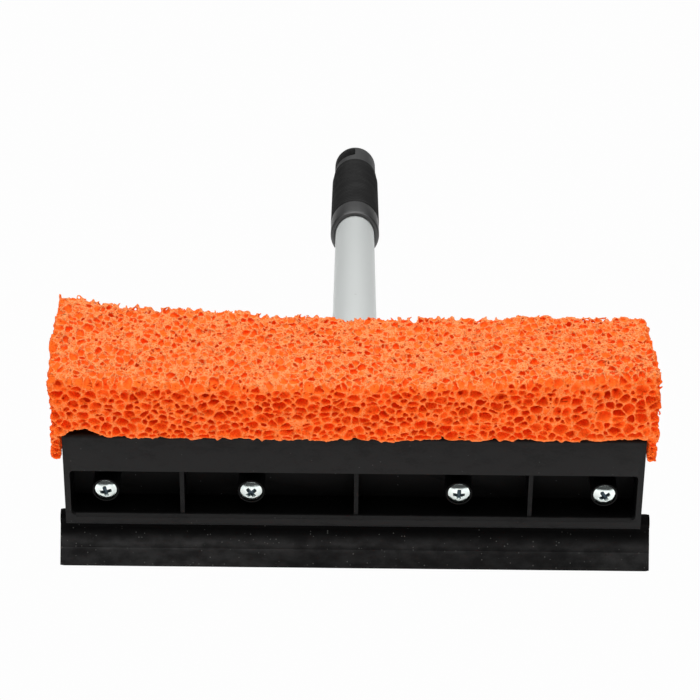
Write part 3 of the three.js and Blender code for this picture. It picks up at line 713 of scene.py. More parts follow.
def made_piece(
    name: str, points: np.ndarray, faces: Iterable[np.ndarray]
) -> bpy.types.Object:
    """Makes a smooth piece from whole arrays.

    Args:
        name: The piece's name.
        points: Its vertices in metres, one row each.
        faces: Arrays of faces, each with as many columns as its faces have corners.

    Returns:
        The object, at the origin and with its faces outwards.
    """
    groups = [np.asarray(group, np.int64) for group in faces if len(group)]
    if enclosed_volume(points, groups) < 0:
        groups = [group[:, ::-1] for group in groups]
    mesh = bpy.data.meshes.new(name)
    mesh.vertices.add(len(points))
    mesh.vertices.foreach_set("co", np.asarray(points, np.float32).ravel())
    corners = np.concatenate([group.ravel() for group in groups])
    sizes = np.concatenate([np.full(len(group), group.shape[1]) for group in groups])
    mesh.loops.add(len(corners))
    mesh.loops.foreach_set("vertex_index", corners.astype(np.int32))
    mesh.polygons.add(len(sizes))
    starts = np.concatenate([[0], np.cumsum(sizes)[:-1]])
    mesh.polygons.foreach_set("loop_start", starts.astype(np.int32))
    mesh.polygons.foreach_set("use_smooth", np.ones(len(sizes), bool))
    mesh.update(calc_edges=True)
    mesh.validate()
    return linked(name, mesh)


def enclosed_volume(points: np.ndarray, groups: Sequence[np.ndarray]) -> float:
    """Signed volume: the sum over a fan of triangles of a . (b x c) / 6."""
    total = 0.0
    for group in groups:
        first = points[group[:, 0]]
        for step in range(1, group.shape[1] - 1):
            second, third = points[group[:, step]], points[group[:, step + 1]]
            total += float(np.einsum("ij,ij->", first, np.cross(second, third))) / 6
    return total


def closed_skin(
    grid: np.ndarray, ring_rows: bool, start: np.ndarray | None, end: np.ndarray | None
) -> tuple[np.ndarray, list[np.ndarray]]:
    """Joins a grid of points into quads, its columns always closed into rings.

    Args:
        grid: Points, rows by columns by 3.
        ring_rows: Whether the last row joins the first.
        start: A point that closes the first row with a fan, or None.
        end: A point that closes the last row with a fan, or None.

    Returns:
        The vertices, and the faces as arrays.
    """
    rows, columns = grid.shape[:2]
    index = np.arange(rows * columns).reshape(rows, columns)
    near = index if ring_rows else index[:-1]
    far = np.roll(index, -1, 0) if ring_rows else index[1:]
    quads = np.stack([near, np.roll(near, -1, 1), np.roll(far, -1, 1), far], -1)
    points, faces = [grid.reshape(-1, 3)], [quads.reshape(-1, 4)]
    for tip, ring, flip in ((start, index[0], True), (end, index[-1], False)):
        if tip is not None:
            middle = np.full(columns, sum(len(p) for p in points))
            pair = (ring, np.roll(ring, -1))
            fan = (middle, pair[1], pair[0]) if flip else (middle, *pair)
            faces.append(np.stack(fan, -1))
            points.append(np.asarray(tip, float).reshape(1, 3))
    return np.concatenate(points), faces


def revolved(profile: np.ndarray, sides: int) -> np.ndarray:
    """Grid of (r sin a, l, r cos a) for a profile of (r, l) rows and angles a all round."""
    angle = np.linspace(0, 2 * math.pi, sides, endpoint=False)
    radius, along = profile[:, :1], profile[:, 1:]
    return np.stack(
        [radius * np.sin(angle), along + 0 * angle, radius * np.cos(angle)], -1
    )


def eased(outline: Sequence[tuple[float, float]], radii: Sequence[float]) -> np.ndarray:
    """Rounds the corners of a closed outline.

    A corner c with neighbours a and b is replaced by points on the quadratic curve
    (1-t)^2 p + 2t(1-t) c + t^2 q, where p and q lie a radius away on its two sides.

    Args:
        outline: Its corners.
        radii: How far from each corner the rounding starts; 0 keeps it sharp.

    Returns:
        The points of the rounded outline.
    """
    corners = np.asarray(outline, float)
    before, after = np.roll(corners, 1, 0), np.roll(corners, -1, 0)
    t = np.linspace(0, 1, 5)[:, None]
    points = []
    for corner, last, following, radius in zip(corners, before, after, radii):
        if radius <= 0:
            points.append(corner[None])
            continue
        p = corner + (last - corner) * radius / np.linalg.norm(last - corner)
        q = corner + (following - corner) * radius / np.linalg.norm(following - corner)
        points.append((1 - t) ** 2 * p + 2 * t * (1 - t) * corner + t**2 * q)
    return np.concatenate(points)


def settle(
    piece: bpy.types.Object,
    body: Body,
    slot: Slot,
    material: bpy.types.Material,
    *nodes: str,
) -> None:
    """Dresses a piece, lets it ride on its body and stand for CAD nodes."""
    piece.data.materials.clear()
    piece.data.materials.append(material)
    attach(piece, body.value)
    if nodes:
        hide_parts(*nodes)
    log.info("%s: %d faces on %s", piece.name, len(piece.data.polygons), body.value)


def copied(node: bpy.types.Object, name: str, edge: float) -> bpy.types.Object:
    """Copies a CAD node's shape as one clean mesh with softened edges.

    Args:
        node: The CAD node.
        name: The copy's name.
        edge: Width of the softened edges in metres.

    Returns:
        The copy, which carries a Bevel.
    """
    mesh = bpy.data.meshes.new(name)
    shape = bmesh.new()
    shape.from_mesh(node.data)
    bmesh.ops.remove_doubles(shape, verts=shape.verts, dist=MERGE_WITHIN)
    bmesh.ops.dissolve_limit(
        shape, angle_limit=math.radians(FLAT_ANGLE), verts=shape.verts, edges=shape.edges
    )
    shape.to_mesh(mesh)
    shape.free()
    mesh.materials.clear()
    mesh.polygons.foreach_set("use_smooth", np.ones(len(mesh.polygons), bool))
    mesh.set_sharp_from_angle(angle=math.radians(SHARP_ANGLE))
    made = linked(name, mesh)
    bevel = made.modifiers.new("softened_edges", "BEVEL")
    bevel.width = edge
    bevel.segments = 2
    bevel.limit_method = "ANGLE"
    bevel.angle_limit = math.radians(SHARP_ANGLE)
    bevel.harden_normals = True
    return made


# ---- Noise ------------------------------------------------------------------------------


class LatticeNoise:
    """Smooth noise from random values at the corners of a repeating cubic lattice."""

    SIZE = 64

    def __init__(self, seed: int, pitch: float) -> None:
        """Draws the lattice and keeps its pitch in millimetres."""
        self.values = np.random.default_rng(seed).random((self.SIZE,) * 3, np.float32)
        self.pitch = pitch

    def at(self, points: np.ndarray) -> np.ndarray:
        """Values from -1 to 1: corners blended by w = 3t^2 - 2t^3 along each axis."""
        scaled_points = points / self.pitch
        base = np.floor(scaled_points).astype(np.int32)
        t = (scaled_points - base).astype(np.float32)
        w = t * t * (3 - 2 * t)
        total = np.zeros(len(points), np.float32)
        for corner in np.ndindex(2, 2, 2):
            spot = (base + np.array(corner)) & (self.SIZE - 1)
            share = np.prod(np.where(corner, w, 1 - w), axis=1)
            total += share * self.values[spot[:, 0], spot[:, 1], spot[:, 2]]
        return 2 * total - 1


def smoothstep(value: np.ndarray, low: float, high: float) -> np.ndarray:
    """3t^2 - 2t^3 with t = (value - low) / (high - low), clamped to 0..1."""
    t = np.clip((value - low) / (high - low), 0, 1)
    return t * t * (3 - 2 * t)


# ---- Sponge -----------------------------------------------------------------------------


@dataclass
class Foam:
    """The cells of the foam, as a power diagram of random seeds.

    A point belongs to the seed with the least |p - s|^2 - w in a space that is squeezed along
    each axis, and the wall between two seeds lies where these are equal, at a distance of
    (power - least) / (2 |s - s'|) from a point.

    Attributes:
        stretch: How much longer the cells are along each axis.
        coarse: Spacing of the seeds in the cut sides, in millimetres.
        fine: Spacing of the seeds in the top.
        coarse_spread: Largest weight of a seed in the sides, which makes its cell larger.
        fine_spread: Largest weight of a seed in the top.
        coarse_blend: How softly walls join in the sides.
        fine_blend: How softly they join in the top.
        seed: Start of the random draws.
    """

    MARGIN: ClassVar[int] = 2  # millimetres that seeds are sown beyond the grid
    JITTER: ClassVar[float] = 0.95  # how far a seed strays, in lattice steps
    ROOTED: ClassVar[float] = 0.1  # millimetres that a seed lies inside the block at least
    FAR: ClassVar[float] = 6.0  # excess power beyond which a wall no longer counts

    stretch: tuple[float, float, float] = (1.3, 1.55, 0.9)
    coarse: float = 2.1
    fine: float = 1.0
    coarse_spread: float = 3.8
    fine_spread: float = 3.8
    coarse_blend: float = 0.19
    fine_blend: float = 0.09
    seed: int = 11

    def scatter(
        self, rng: np.random.Generator, low: np.ndarray, high: np.ndarray, pitch: float
    ) -> np.ndarray:
        """Seeds scattered about the corners of a lattice, in squeezed millimetres."""
        axes = [np.arange(a, b, pitch) for a, b in zip(low, high)]
        lattice = np.stack(np.meshgrid(*axes, indexing="ij"), -1).reshape(-1, 3)
        return lattice + rng.random(lattice.shape) * pitch * self.JITTER

    def sown(
        self, low: np.ndarray, high: np.ndarray, block: "Sponge"
    ) -> tuple[np.ndarray, ...]:
        """Sows the seeds between two corners.

        Args:
            low: The lowest corner in block coordinates.
            high: The highest corner.
            block: The sponge, which tells its top from its sides.

        Returns:
            The seeds in squeezed millimetres, their weights, how far each one reaches, and
            how softly its walls join.
        """
        rng = np.random.default_rng(self.seed)
        squeeze = 1 / np.array(self.stretch)
        parts = []
        start, stop = (low - self.MARGIN) * squeeze, (high + self.MARGIN) * squeeze
        for pitch, spread, blend, on_top in (
            (self.coarse, self.coarse_spread, self.coarse_blend, False),
            (self.fine, self.fine_spread, self.fine_blend, True),
        ):
            spots = self.scatter(rng, start, stop, pitch)
            inside = block.envelope((spots / squeeze).astype(np.float32))
            top = block.topness(spots / squeeze) > 0.5
            spots = spots[(top == on_top) & (inside > self.ROOTED) & (inside < block.carve)]
            weights = spread * rng.random(len(spots)) ** 2
            reach = np.full(len(spots), 1.3 * pitch + math.sqrt(spread) * 0.5)
            parts.append((spots, weights, reach, np.full(len(spots), blend)))
        return tuple(np.concatenate(part) for part in zip(*parts))

    def diagram(
        self, axes: Sequence[np.ndarray], block: "Sponge"
    ) -> tuple[np.ndarray, np.ndarray, np.ndarray]:
        """Works each seed into the box of grid points that it reaches.

        Args:
            axes: The grid's coordinates along each axis.
            block: The sponge.

        Returns:
            The number of the owning seed of each grid point, its distance from the nearest
            wall, and the seeds in block coordinates.
        """
        low = np.array([axis[0] for axis in axes])
        high = np.array([axis[-1] for axis in axes])
        seeds, weights, reaches, blends = self.sown(low, high, block)
        lines = [axis / stretch for axis, stretch in zip(axes, self.stretch)]
        shape = tuple(len(axis) for axis in axes)
        least = np.full(shape, 1e6, np.float32)
        owner = np.full(shape, -1, np.int32)
        boxes = self.boxes(lines, seeds, reaches)
        for number, box in enumerate(boxes):
            power = self.power(lines, box, seeds[number], weights[number])
            closer = power < least[box]
            owner[box] = np.where(closer, number, owner[box])
            least[box] = np.where(closer, power, least[box])
        total = np.zeros(shape, np.float32)
        places, blends = seeds.astype(np.float32), blends.astype(np.float32)
        for number, box in enumerate(boxes):
            excess = self.power(lines, box, seeds[number], weights[number]) - least[box]
            near = (excess < self.FAR) & (owner[box] != number)
            owners = owner[box][near]
            apart = np.linalg.norm(places[owners] - places[number], axis=1)
            wall = excess[near] / (2 * np.maximum(apart, 0.05))
            total[box][near] += np.exp(-np.minimum(wall / blends[owners], 60))
        away = -blends[owner] * np.log(np.maximum(total, 1e-20))
        return owner, away, seeds * np.array(self.stretch)

    @staticmethod
    def boxes(
        lines: Sequence[np.ndarray], seeds: np.ndarray, reaches: np.ndarray
    ) -> list[tuple[slice, ...]]:
        """The box of grid points around each seed."""
        sides = []
        for axis, line in enumerate(lines):
            first = np.searchsorted(line, seeds[:, axis] - reaches)
            last = np.searchsorted(line, seeds[:, axis] + reaches)
            sides.append([slice(a, b) for a, b in zip(first.tolist(), last.tolist())])
        return list(zip(*sides))

    @staticmethod
    def power(
        lines: Sequence[np.ndarray], box: tuple[slice, ...], seed: np.ndarray, weight: float
    ) -> np.ndarray:
        """|p - s|^2 - w over a box."""
        x, y, z = ((line[side] - at) ** 2 for line, side, at in zip(lines, box, seed))
        power = x[:, None, None] + y[None, :, None] + (z - weight)[None, None, :]
        return power.astype(np.float32)


@dataclass
class Sponge:
    """The foam block on the head, with real open cells in its cut faces.

    Its skin is where a field over a fine grid changes sign. The field is above zero inside
    the block and outside its open cells. Lengths are in millimetres.
    """

    DEPTH_ATTRIBUTE: ClassVar[str] = "pore_depth"
    DEEPEST: ClassVar[int] = 8  # millimetres, the most that the depth attribute holds
    SWAY: ClassVar[tuple[tuple[float, int, float], ...]] = (
        (0.4, 3, 14.0), (0.5, 4, 4.0), (0.7, 5, 1.5), (0.3, 6, 0.8)
    )  # share, seed and pitch of each noise in how far the cut strays from flat
    BAND: ClassVar[float] = 2.0  # millimetres on both sides of the outline that stray
    SOLID: ClassVar[float] = 5.0  # the field well inside the block
    HELD: ClassVar[float] = 4.9  # the field from which a grid point is that solid core
    BEHIND: ClassVar[float] = 0.12  # share of the cells behind the skin that are open too
    RELAX: ClassVar[float] = 0.25  # share of the way that points move to smooth the mesh

    foam: Foam = field(default_factory=Foam)
    grid: float = 0.38
    side_overhang: float = 3.7
    front_overhang: float = 2.0
    depth: float = 45.5
    thickness: float = 20.6
    round: float = 1.3
    flap_drop: float = 10.1
    flap_gap: float = 0.3
    front_rises: tuple[tuple[float, float], ...] = (
        (-103, 3.0), (-90, 1.8), (-60, 1.2), (-20, 0.4), (20, 0.9), (50, 2.6), (75, 4.8),
        (103, 6.8),
    )
    rear_rises: tuple[tuple[float, float], ...] = (
        (-104, 7.6), (-95, 5.8), (-82, 4.4), (-67, 3.9), (-55, 3.0), (-30, 1.5), (-10, 1.0),
        (20, 1.2), (50, 1.9), (75, 2.3), (103, 2.2),
    )
    curl_back: float = 4.0
    swell: float = 0.45
    crown: float = 0.8
    left_splay: tuple[float, float] = (0.004, 0.002)
    right_splay: tuple[float, float] = (0.0, -0.026)
    side_wall: float = 0.38
    top_wall: float = 0.36
    carve: float = 4.4
    shut: float = 0.008
    lift_at: float = -92.5
    lift: float = 2.9
    lift_width: float = 6.5
    right_lift: float = 1.3
    droop: float = 0.15
    underskin: float = 0.8
    fringe: float = 1.2
    side_tone: float = 0.4

    def __post_init__(self) -> None:
        """Works out the lengths that others follow from."""
        self.base = FACE_HEIGHT + SEAT_GAP
        self.half = HALF_HEAD + self.side_overhang
        self.inner = HALF_HEAD + self.flap_gap

    def envelope(self, p: np.ndarray) -> np.ndarray:
        """How far points lie inside the block's outline, in millimetres.

        The block and its two hanging ends are rounded boxes: with q = |p - centre| - half
        size + round, the distance is round - |max(q, 0)| - min(max(q), 0). The block's base
        is raised where it bows up off the housing.

        Args:
            p: Points in block coordinates, one row each.

        Returns:
            Distances, above zero inside.
        """
        top = self.base + self.thickness
        rear = self.depth - self.front_overhang

        def boxed(low: Sequence[float], high: Sequence[float]) -> np.ndarray:
            middle, size = np.add(low, high) / 2, np.subtract(high, low) / 2
            q = np.abs(p - middle.astype(np.float32)) - (size - self.round).astype(np.float32)
            outside = np.linalg.norm(np.maximum(q, 0), axis=1)
            return self.round - outside - np.minimum(q.max(1), 0)

        block = boxed(
            [-self.half, -self.front_overhang, self.base - self.droop], [self.half, rear, top]
        )
        flaps = [
            boxed(
                [min(a, b), -self.front_overhang, self.base - self.flap_drop],
                [max(a, b), rear, self.base + 8],
            )
            for a, b in ((-self.half, -self.inner), (self.inner, self.half))
        ]
        ends = np.maximum(*flaps)
        near = np.abs(np.maximum(block, ends)) < self.BAND
        sway = np.zeros(len(p), np.float32)
        sway[near] = self.sway(p[near])
        under = p[:, 2] - self.floor(p) + 0.5 * np.clip(sway, -1.0, 0.5)
        block = np.minimum(block + sway, under)
        ends = np.minimum(ends + 0.8 * sway, np.abs(p[:, 0]) - self.inner)
        return np.maximum(block, ends)

    def floor(self, p: np.ndarray) -> np.ndarray:
        """Height of the block's underside, with S a smooth step between two values.

        Its front edge bows up by lift * exp(-((x - lift_at) / lift_width)^2) and, towards the
        right, by right_lift * (0.3 S(x, 20, 60) + 0.7 S(x, 70, 90)), both times
        1 - S(y, 4, 16). It hangs down by droop in front of the housing.
        """
        bow = np.exp(-(((p[:, 0] - self.lift_at) / self.lift_width) ** 2))
        right = 0.3 * smoothstep(p[:, 0], 20.0, 60.0) + 0.7 * smoothstep(p[:, 0], 70.0, 90.0)
        raised = self.lift * bow + self.right_lift * right
        raised = self.base + raised * (1 - smoothstep(p[:, 1], 4.0, 16.0))
        return raised - self.droop * (1 - smoothstep(p[:, 1], -0.9, -0.3)) * (1 - bow)

    def sway(self, p: np.ndarray) -> np.ndarray:
        """How far the cut strays from flat: long waves and a rough nap."""
        return sum(share * LatticeNoise(seed, pitch).at(p) for share, seed, pitch in self.SWAY)

    def topness(self, p: np.ndarray) -> np.ndarray:
        """1 where the top face is the nearest, fading to 0 towards the sides."""
        top = self.base + self.thickness - p[:, 2]
        front = p[:, 1] + self.front_overhang
        rear = self.depth - self.front_overhang - p[:, 1]
        side = self.half - np.abs(p[:, 0])
        nearest = np.minimum(np.minimum(front, rear), side)
        return smoothstep(nearest - top, -1.0, 2.5)

    def field(self) -> tuple[np.ndarray, np.ndarray]:
        """Fills the grid.

        A cell is open where it meets the skin, and a few cells behind are open too, through
        windows in the walls where a noise is high.

        Returns:
            The field, and the grid's lowest corner in millimetres.
        """
        margin = 3 * self.grid
        low = np.array([-self.half, -self.front_overhang, self.base - self.flap_drop]) - margin
        high = np.array(
            [self.half, self.depth - self.front_overhang, self.base + self.thickness]
        )
        count = np.ceil((high + margin - low) / self.grid).astype(int) + 1
        axes = [low[a] + self.grid * np.arange(count[a]) for a in range(3)]
        points = np.stack(np.meshgrid(*axes, indexing="ij"), -1).reshape(-1, 3)
        points = points.astype(np.float32)
        shell = self.envelope(points).astype(np.float32)
        owner, away, seeds = self.foam.diagram(axes, self)
        owner, away = owner.reshape(-1), away.reshape(-1)
        open_cell = self.open_cells(owner, shell, seeds)
        busy = (shell > -0.1) & (shell < self.carve * 1.3) & (owner >= 0)
        value = np.where(shell > 0, self.SOLID, shell).astype(np.float32)
        walls = self.walls(points[busy], shell[busy], away[busy], open_cell[owner[busy]])
        value[busy] = np.minimum(shell[busy], walls)
        value = value.reshape(count)
        value[(0, -1), :, :] = value[:, (0, -1), :] = value[:, :, (0, -1)] = -1.0
        return self.tidied(value, shell.reshape(count)), low

    def open_cells(self, owner: np.ndarray, shell: np.ndarray, seeds: np.ndarray) -> np.ndarray:
        """Whether each seed's cell is hollow.

        Args:
            owner: The owning seed of each grid point.
            shell: How far inside each grid point lies.
            seeds: The seeds.

        Returns:
            One flag for each seed.
        """
        rng = np.random.default_rng(self.foam.seed + 1)
        cut = np.zeros(len(seeds), bool)
        cut[owner[(shell > 0) & (shell < 0.5) & (owner >= 0)]] = True
        behind = rng.random(len(seeds)) < self.BEHIND * (1 - self.topness(seeds))
        return (cut | behind) & (rng.random(len(seeds)) > self.shut)

    def walls(
        self, p: np.ndarray, shell: np.ndarray, away: np.ndarray, hollow: np.ndarray
    ) -> np.ndarray:
        """The field of the cell walls: thickness / 2 - away in a hollow cell, else solid.

        Walls have windows deeper than 1.2 mm in from the sides, and along the frayed rear and
        end edges of the top. The underside keeps a closed skin where it lies on the housing,
        which fades out between y = 30 and 34.
        """
        on_side = 1 - self.topness(p)
        thin = self.top_wall + (self.side_wall - self.top_wall) * on_side
        thick = thin * (1 + 0.25 * LatticeNoise(9, 6.0).at(p))
        window = smoothstep(LatticeNoise(8, 1.7).at(p), 0.3, 0.6)
        top = self.base + self.thickness - p[:, 2]
        rear = self.depth - self.front_overhang - p[:, 1]
        edge = np.maximum(np.minimum(rear, self.half - np.abs(p[:, 0])), top)
        worn = ((shell > 1.2) & (on_side > 0.5)) | (edge < self.fringe)
        thick = thick - np.where(worn, 1.5 * window, 0)
        value = np.where(hollow, thick / 2 - away, np.maximum(away, 0.2))
        skin = self.underskin * (1 - smoothstep(p[:, 1], 30.0, 34.0))
        skin = np.where(np.abs(p[:, 0]) < HALF_HEAD, skin - (p[:, 2] - self.floor(p)), -1)
        return np.maximum(value, skin)

    @staticmethod
    def reached(open_space: np.ndarray, start: np.ndarray) -> np.ndarray:
        """The part of open_space that joins start, by growing it one grid step at a time."""
        grown = start & open_space
        size = 0
        while size != (now := int(grown.sum())):
            size = now
            for _ in range(3):
                for axis in range(3):
                    ahead = [slice(None)] * 3
                    behind = [slice(None)] * 3
                    ahead[axis], behind[axis] = slice(1, None), slice(None, -1)
                    grown[tuple(ahead)] |= grown[tuple(behind)]
                    grown[tuple(behind)] |= grown[tuple(ahead)]
                    grown &= open_space
        return grown

    def tidied(self, value: np.ndarray, shell: np.ndarray) -> np.ndarray:
        """Fills voids that nothing reaches from outside and drops bits that float free."""
        outside = self.reached(value <= 0, shell <= 0)
        value = np.where((value <= 0) & ~outside, 0.3, value)
        held = self.reached(value > 0, value >= self.HELD)
        return np.where((value > 0) & ~held, -0.3, value).astype(np.float32)

    @staticmethod
    def net(value: np.ndarray) -> tuple[np.ndarray, np.ndarray]:
        """Skins the field where it crosses zero.

        Each grid cube with corners on both sides holds one point, the mean of where its
        edges cross zero, at t = a / (a - b) along an edge from value a to value b. Each
        crossed edge joins the points of the four cubes around it.

        Args:
            value: The field.

        Returns:
            Points in grid steps, and quads.
        """
        solid = value > 0
        inner = tuple(n - 1 for n in value.shape)
        filled = np.zeros(inner, np.int8)
        for corner in np.ndindex(2, 2, 2):
            filled += solid[tuple(slice(c, c + n) for c, n in zip(corner, inner))]
        cubes = np.argwhere((filled > 0) & (filled < 8))
        number = np.full(inner, -1, np.int64)
        number[tuple(cubes.T)] = np.arange(len(cubes))
        total = np.zeros((len(cubes), 3))
        crossed = np.zeros(len(cubes))
        for axis in range(3):
            for corner in np.ndindex(2, 2, 2):
                if corner[axis]:
                    continue
                near = cubes + np.array(corner)
                far = near.copy()
                far[:, axis] += 1
                a, b = value[tuple(near.T)], value[tuple(far.T)]
                hit = (a > 0) != (b > 0)
                t = np.where(hit, a / np.where(hit, a - b, 1), 0)
                spot = near.astype(float)
                spot[:, axis] += t
                total += spot * hit[:, None]
                crossed += hit
        points = total / crossed[:, None]
        quads = []
        for axis in range(3):
            ahead = [slice(1, -1)] * 3
            ahead[axis] = slice(0, -1)
            beyond = [slice(1, -1)] * 3
            beyond[axis] = slice(1, None)
            first, second = solid[tuple(ahead)], solid[tuple(beyond)]
            edges = np.argwhere(first != second)
            if not len(edges):
                continue
            rising = second[tuple(edges.T)]
            shift = np.ones(3, int)
            shift[axis] = 0
            edges = edges + shift
            u, v = (axis + 1) % 3, (axis + 2) % 3
            ring = []
            for du, dv in ((0, 0), (1, 0), (1, 1), (0, 1)):
                cube = edges.copy()
                cube[:, u] -= du
                cube[:, v] -= dv
                ring.append(number[tuple(cube.T)])
            quad = np.stack(ring, -1)
            quads.append(np.where(rising[:, None], quad[:, ::-1], quad))
        return points, np.concatenate(quads)

    @staticmethod
    def relaxed(points: np.ndarray, quads: np.ndarray, share: float) -> np.ndarray:
        """Moves each point by a share of the way to the mean of its neighbours."""
        total = np.zeros_like(points)
        count = np.zeros(len(points))
        for step in range(4):
            here, there = quads[:, step], quads[:, (step + 1) % 4]
            for a, b in ((here, there), (there, here)):
                for axis in range(3):
                    total[:, axis] += np.bincount(a, points[b, axis], len(points))
                count += np.bincount(a, minlength=len(points))
        return points + share * (total / np.maximum(count, 1)[:, None] - points)

    def pressed(self, p: np.ndarray) -> np.ndarray:
        """The block pressed out of true.

        With h and d the shares of the height and depth and x the way along, the lift is
        h * (front(x) * (1 - d) + rear(x) * d + crown * sin(pi d)). The point moves back by
        back * d * h * (swell * S(-x, -10, 80) + (1 - swell) * S(-x, 82, 100)). Sideways it
        moves by x * h * (front splay + (rear splay - front splay) * d) of its own end.

        Args:
            p: Points in block coordinates.

        Returns:
            Points in the head frame.
        """
        x = p[:, 0]
        height = np.clip((p[:, 2] - self.base) / self.thickness, 0, 1.1)
        deep = np.clip((p[:, 1] + self.front_overhang) / self.depth, 0, 1)
        front, rear = (
            np.interp(x, *zip(*rises)) for rises in (self.front_rises, self.rear_rises)
        )
        slow, quick = smoothstep(-x, -10.0, 80.0), smoothstep(-x, 82.0, 100.0)
        curl = self.swell * slow + (1 - self.swell) * quick
        left, right = (a + (b - a) * deep for a, b in (self.left_splay, self.right_splay))
        moved = p.copy()
        moved[:, 0] *= 1 + np.where(x < 0, left, right) * height
        moved[:, 1] += self.curl_back * curl * deep * height
        moved[:, 2] += height * (
            front * (1 - deep) + rear * deep + self.crown * np.sin(math.pi * deep)
        )
        return moved

    def build(self, head: TiltedFrame) -> None:
        """Makes the foam piece."""
        value, low = self.field()
        steps, quads = self.net(value)
        steps = self.relaxed(steps, quads, self.RELAX)
        block = steps * self.grid + low
        sunk = self.envelope(block.astype(np.float32))
        piece = made_piece("sponge_foam", head.place(self.pressed(block)), [quads])
        # The cut sides count side_tone deeper, so they take more of the painted tint and glow.
        sunk = np.clip(sunk, 0, self.DEEPEST) + self.side_tone * (1 - self.topness(block))
        written(piece, self.DEPTH_ATTRIBUTE, sunk)
        settle(piece, Body.HEAD, Slot.SPONGE_FOAM, SPONGE_FOAM.material(), "sponge")


# ---- Head -------------------------------------------------------------------------------


@dataclass
class Housings:
    """The two moulded halves of the head."""

    edge: float = 0.35

    def build(self, head: TiltedFrame, nodes: dict[str, bpy.types.Object]) -> None:
        """Makes both halves from the CAD nodes, with softened edges."""
        for node, name, plastic in (
            ("front_housing", "front_housing_moulding", replace(FRONT_PLASTIC, frame=head)),
            ("rear_housing", "rear_housing_moulding", HEAD_PLASTIC),
        ):
            half = copied(nodes[node], name, self.edge * MM)
            settle(half, Body.HEAD, Slot.HEAD_PLASTIC, plastic.material(), node)


@dataclass
class Blade:
    """The rubber blade: a bead and a strip that steps thinner towards its wiping edge.

    It leans forward by lean. It is lighter along ridge, and near the housing's lip it is kept
    clean black as painted shade under the lip. Lengths are in millimetres.
    """

    CORNER: ClassVar[float] = 0.45  # radius of the step's corners

    width: float = 206.0
    bead: float = 2.7
    bead_y: float = 6.0
    bead_z: float = -0.6
    length: float = 17.34
    lean: float = 33.0
    root: float = 1.4
    lip: float = 1.15
    step_at: float = 10.6
    step_run: float = 1.0
    edge: float = 0.25
    stations: int = 180
    wave: float = 0.12
    aside: float = 0.6
    ridge: float = 10.1

    def outline(self, tip: float) -> np.ndarray:
        """The blade's section.

        Args:
            tip: How far the head tips forward, in radians, which sets the flat on the floor.

        Returns:
            Points (along, out) from the bead's centre, all round.
        """
        lean = math.radians(self.lean)
        across = 2 * self.lip / math.cos(lean - tip)
        heel = self.length - math.sin(lean - tip) * across
        strip = eased(
            [
                (self.step_at, self.root),
                (self.step_at + self.step_run, self.lip),
                (self.length, self.lip),
                (heel, -self.lip),
            ],
            [self.CORNER, self.CORNER, self.edge, self.edge],
        )
        start = math.asin(self.root / self.bead)
        stop = 2 * math.pi - math.asin(self.lip / self.bead)
        angle = np.linspace(stop, start, 28)
        bead = self.bead * np.stack([np.cos(angle), np.sin(angle)], -1)
        front = np.linspace(bead[-1], (self.step_at, self.root), 6)[1:-1]
        back = np.linspace((heel, -self.lip), bead[0], 9)[1:-1]
        lip_at = self.step_at + self.step_run
        lower = np.linspace((lip_at, self.lip), (self.length, self.lip), 7)[1:-1]
        return np.concatenate([bead, front, strip[:10], lower, strip[10:], back])

    def build(self, head: TiltedFrame) -> None:
        """Makes the blade: its section carried along X, with a slight wave in its lip.

        The lip waves by wave * (along / length)^2 * (sin(0.071 x + 0.6) + 0.6 sin(0.183 x
        + 2.1)). The film colour is strongest along its ridge and reaches higher at the left
          end, and it fades to clean black rubber near the housing's lip: painted shade under
          the lip.
        """
        section = self.outline(head.pitch)
        x = np.linspace(-self.width / 2, self.width / 2, self.stations)
        inset = self.edge * smoothstep(np.abs(x), self.width / 2 - 1.2, self.width / 2)
        middle = section.mean(0)
        shrink = 1 - inset / self.lip * 0.35
        along = middle[0] + (section[None, :, 0] - middle[0]) * (1 - inset[:, None] / 12)
        out = section[None, :, 1] * shrink[:, None]
        share = np.clip(along / self.length, 0, 1) ** 2
        ripple = np.sin(x * 0.071 + 0.6) + 0.6 * np.sin(x * 0.183 + 2.1)
        out = out + self.wave * share * ripple[:, None]
        lean = math.radians(self.lean)
        y = self.bead_y - math.sin(lean) * along - math.cos(lean) * out
        z = self.bead_z - math.cos(lean) * along + math.sin(lean) * out
        grid = np.stack([x[:, None] + self.aside + 0 * y, y, z], -1)
        points, faces = closed_skin(grid, False, None, None)
        rows, columns = grid.shape[:2]
        first = np.arange(columns)[None]
        ends = [first[:, ::-1], first + (rows - 1) * columns]
        piece = made_piece("wiping_blade", head.place(points), [*faces, *ends])
        # The film attribute is lighter along the ridge and at the left end, and falls to 0 near
        # the lip to paint the lip's shade on the blade.
        left = 0.35 * smoothstep(-x[:, None], 20, 75) * (1 - smoothstep(along, 10.6, 11.6))
        worn = 0.68 + 0.42 * np.exp(-(((along - self.ridge) / 1.1) ** 2)) + left
        worn *= smoothstep(along, 4.4, 8.8)
        written(piece, DustyRubber.FILM_AND_SHADE_ATTRIBUTE, worn)
        settle(piece, Body.HEAD, Slot.BLADE_RUBBER, BLADE_RUBBER.material(), "squeegee_blade")


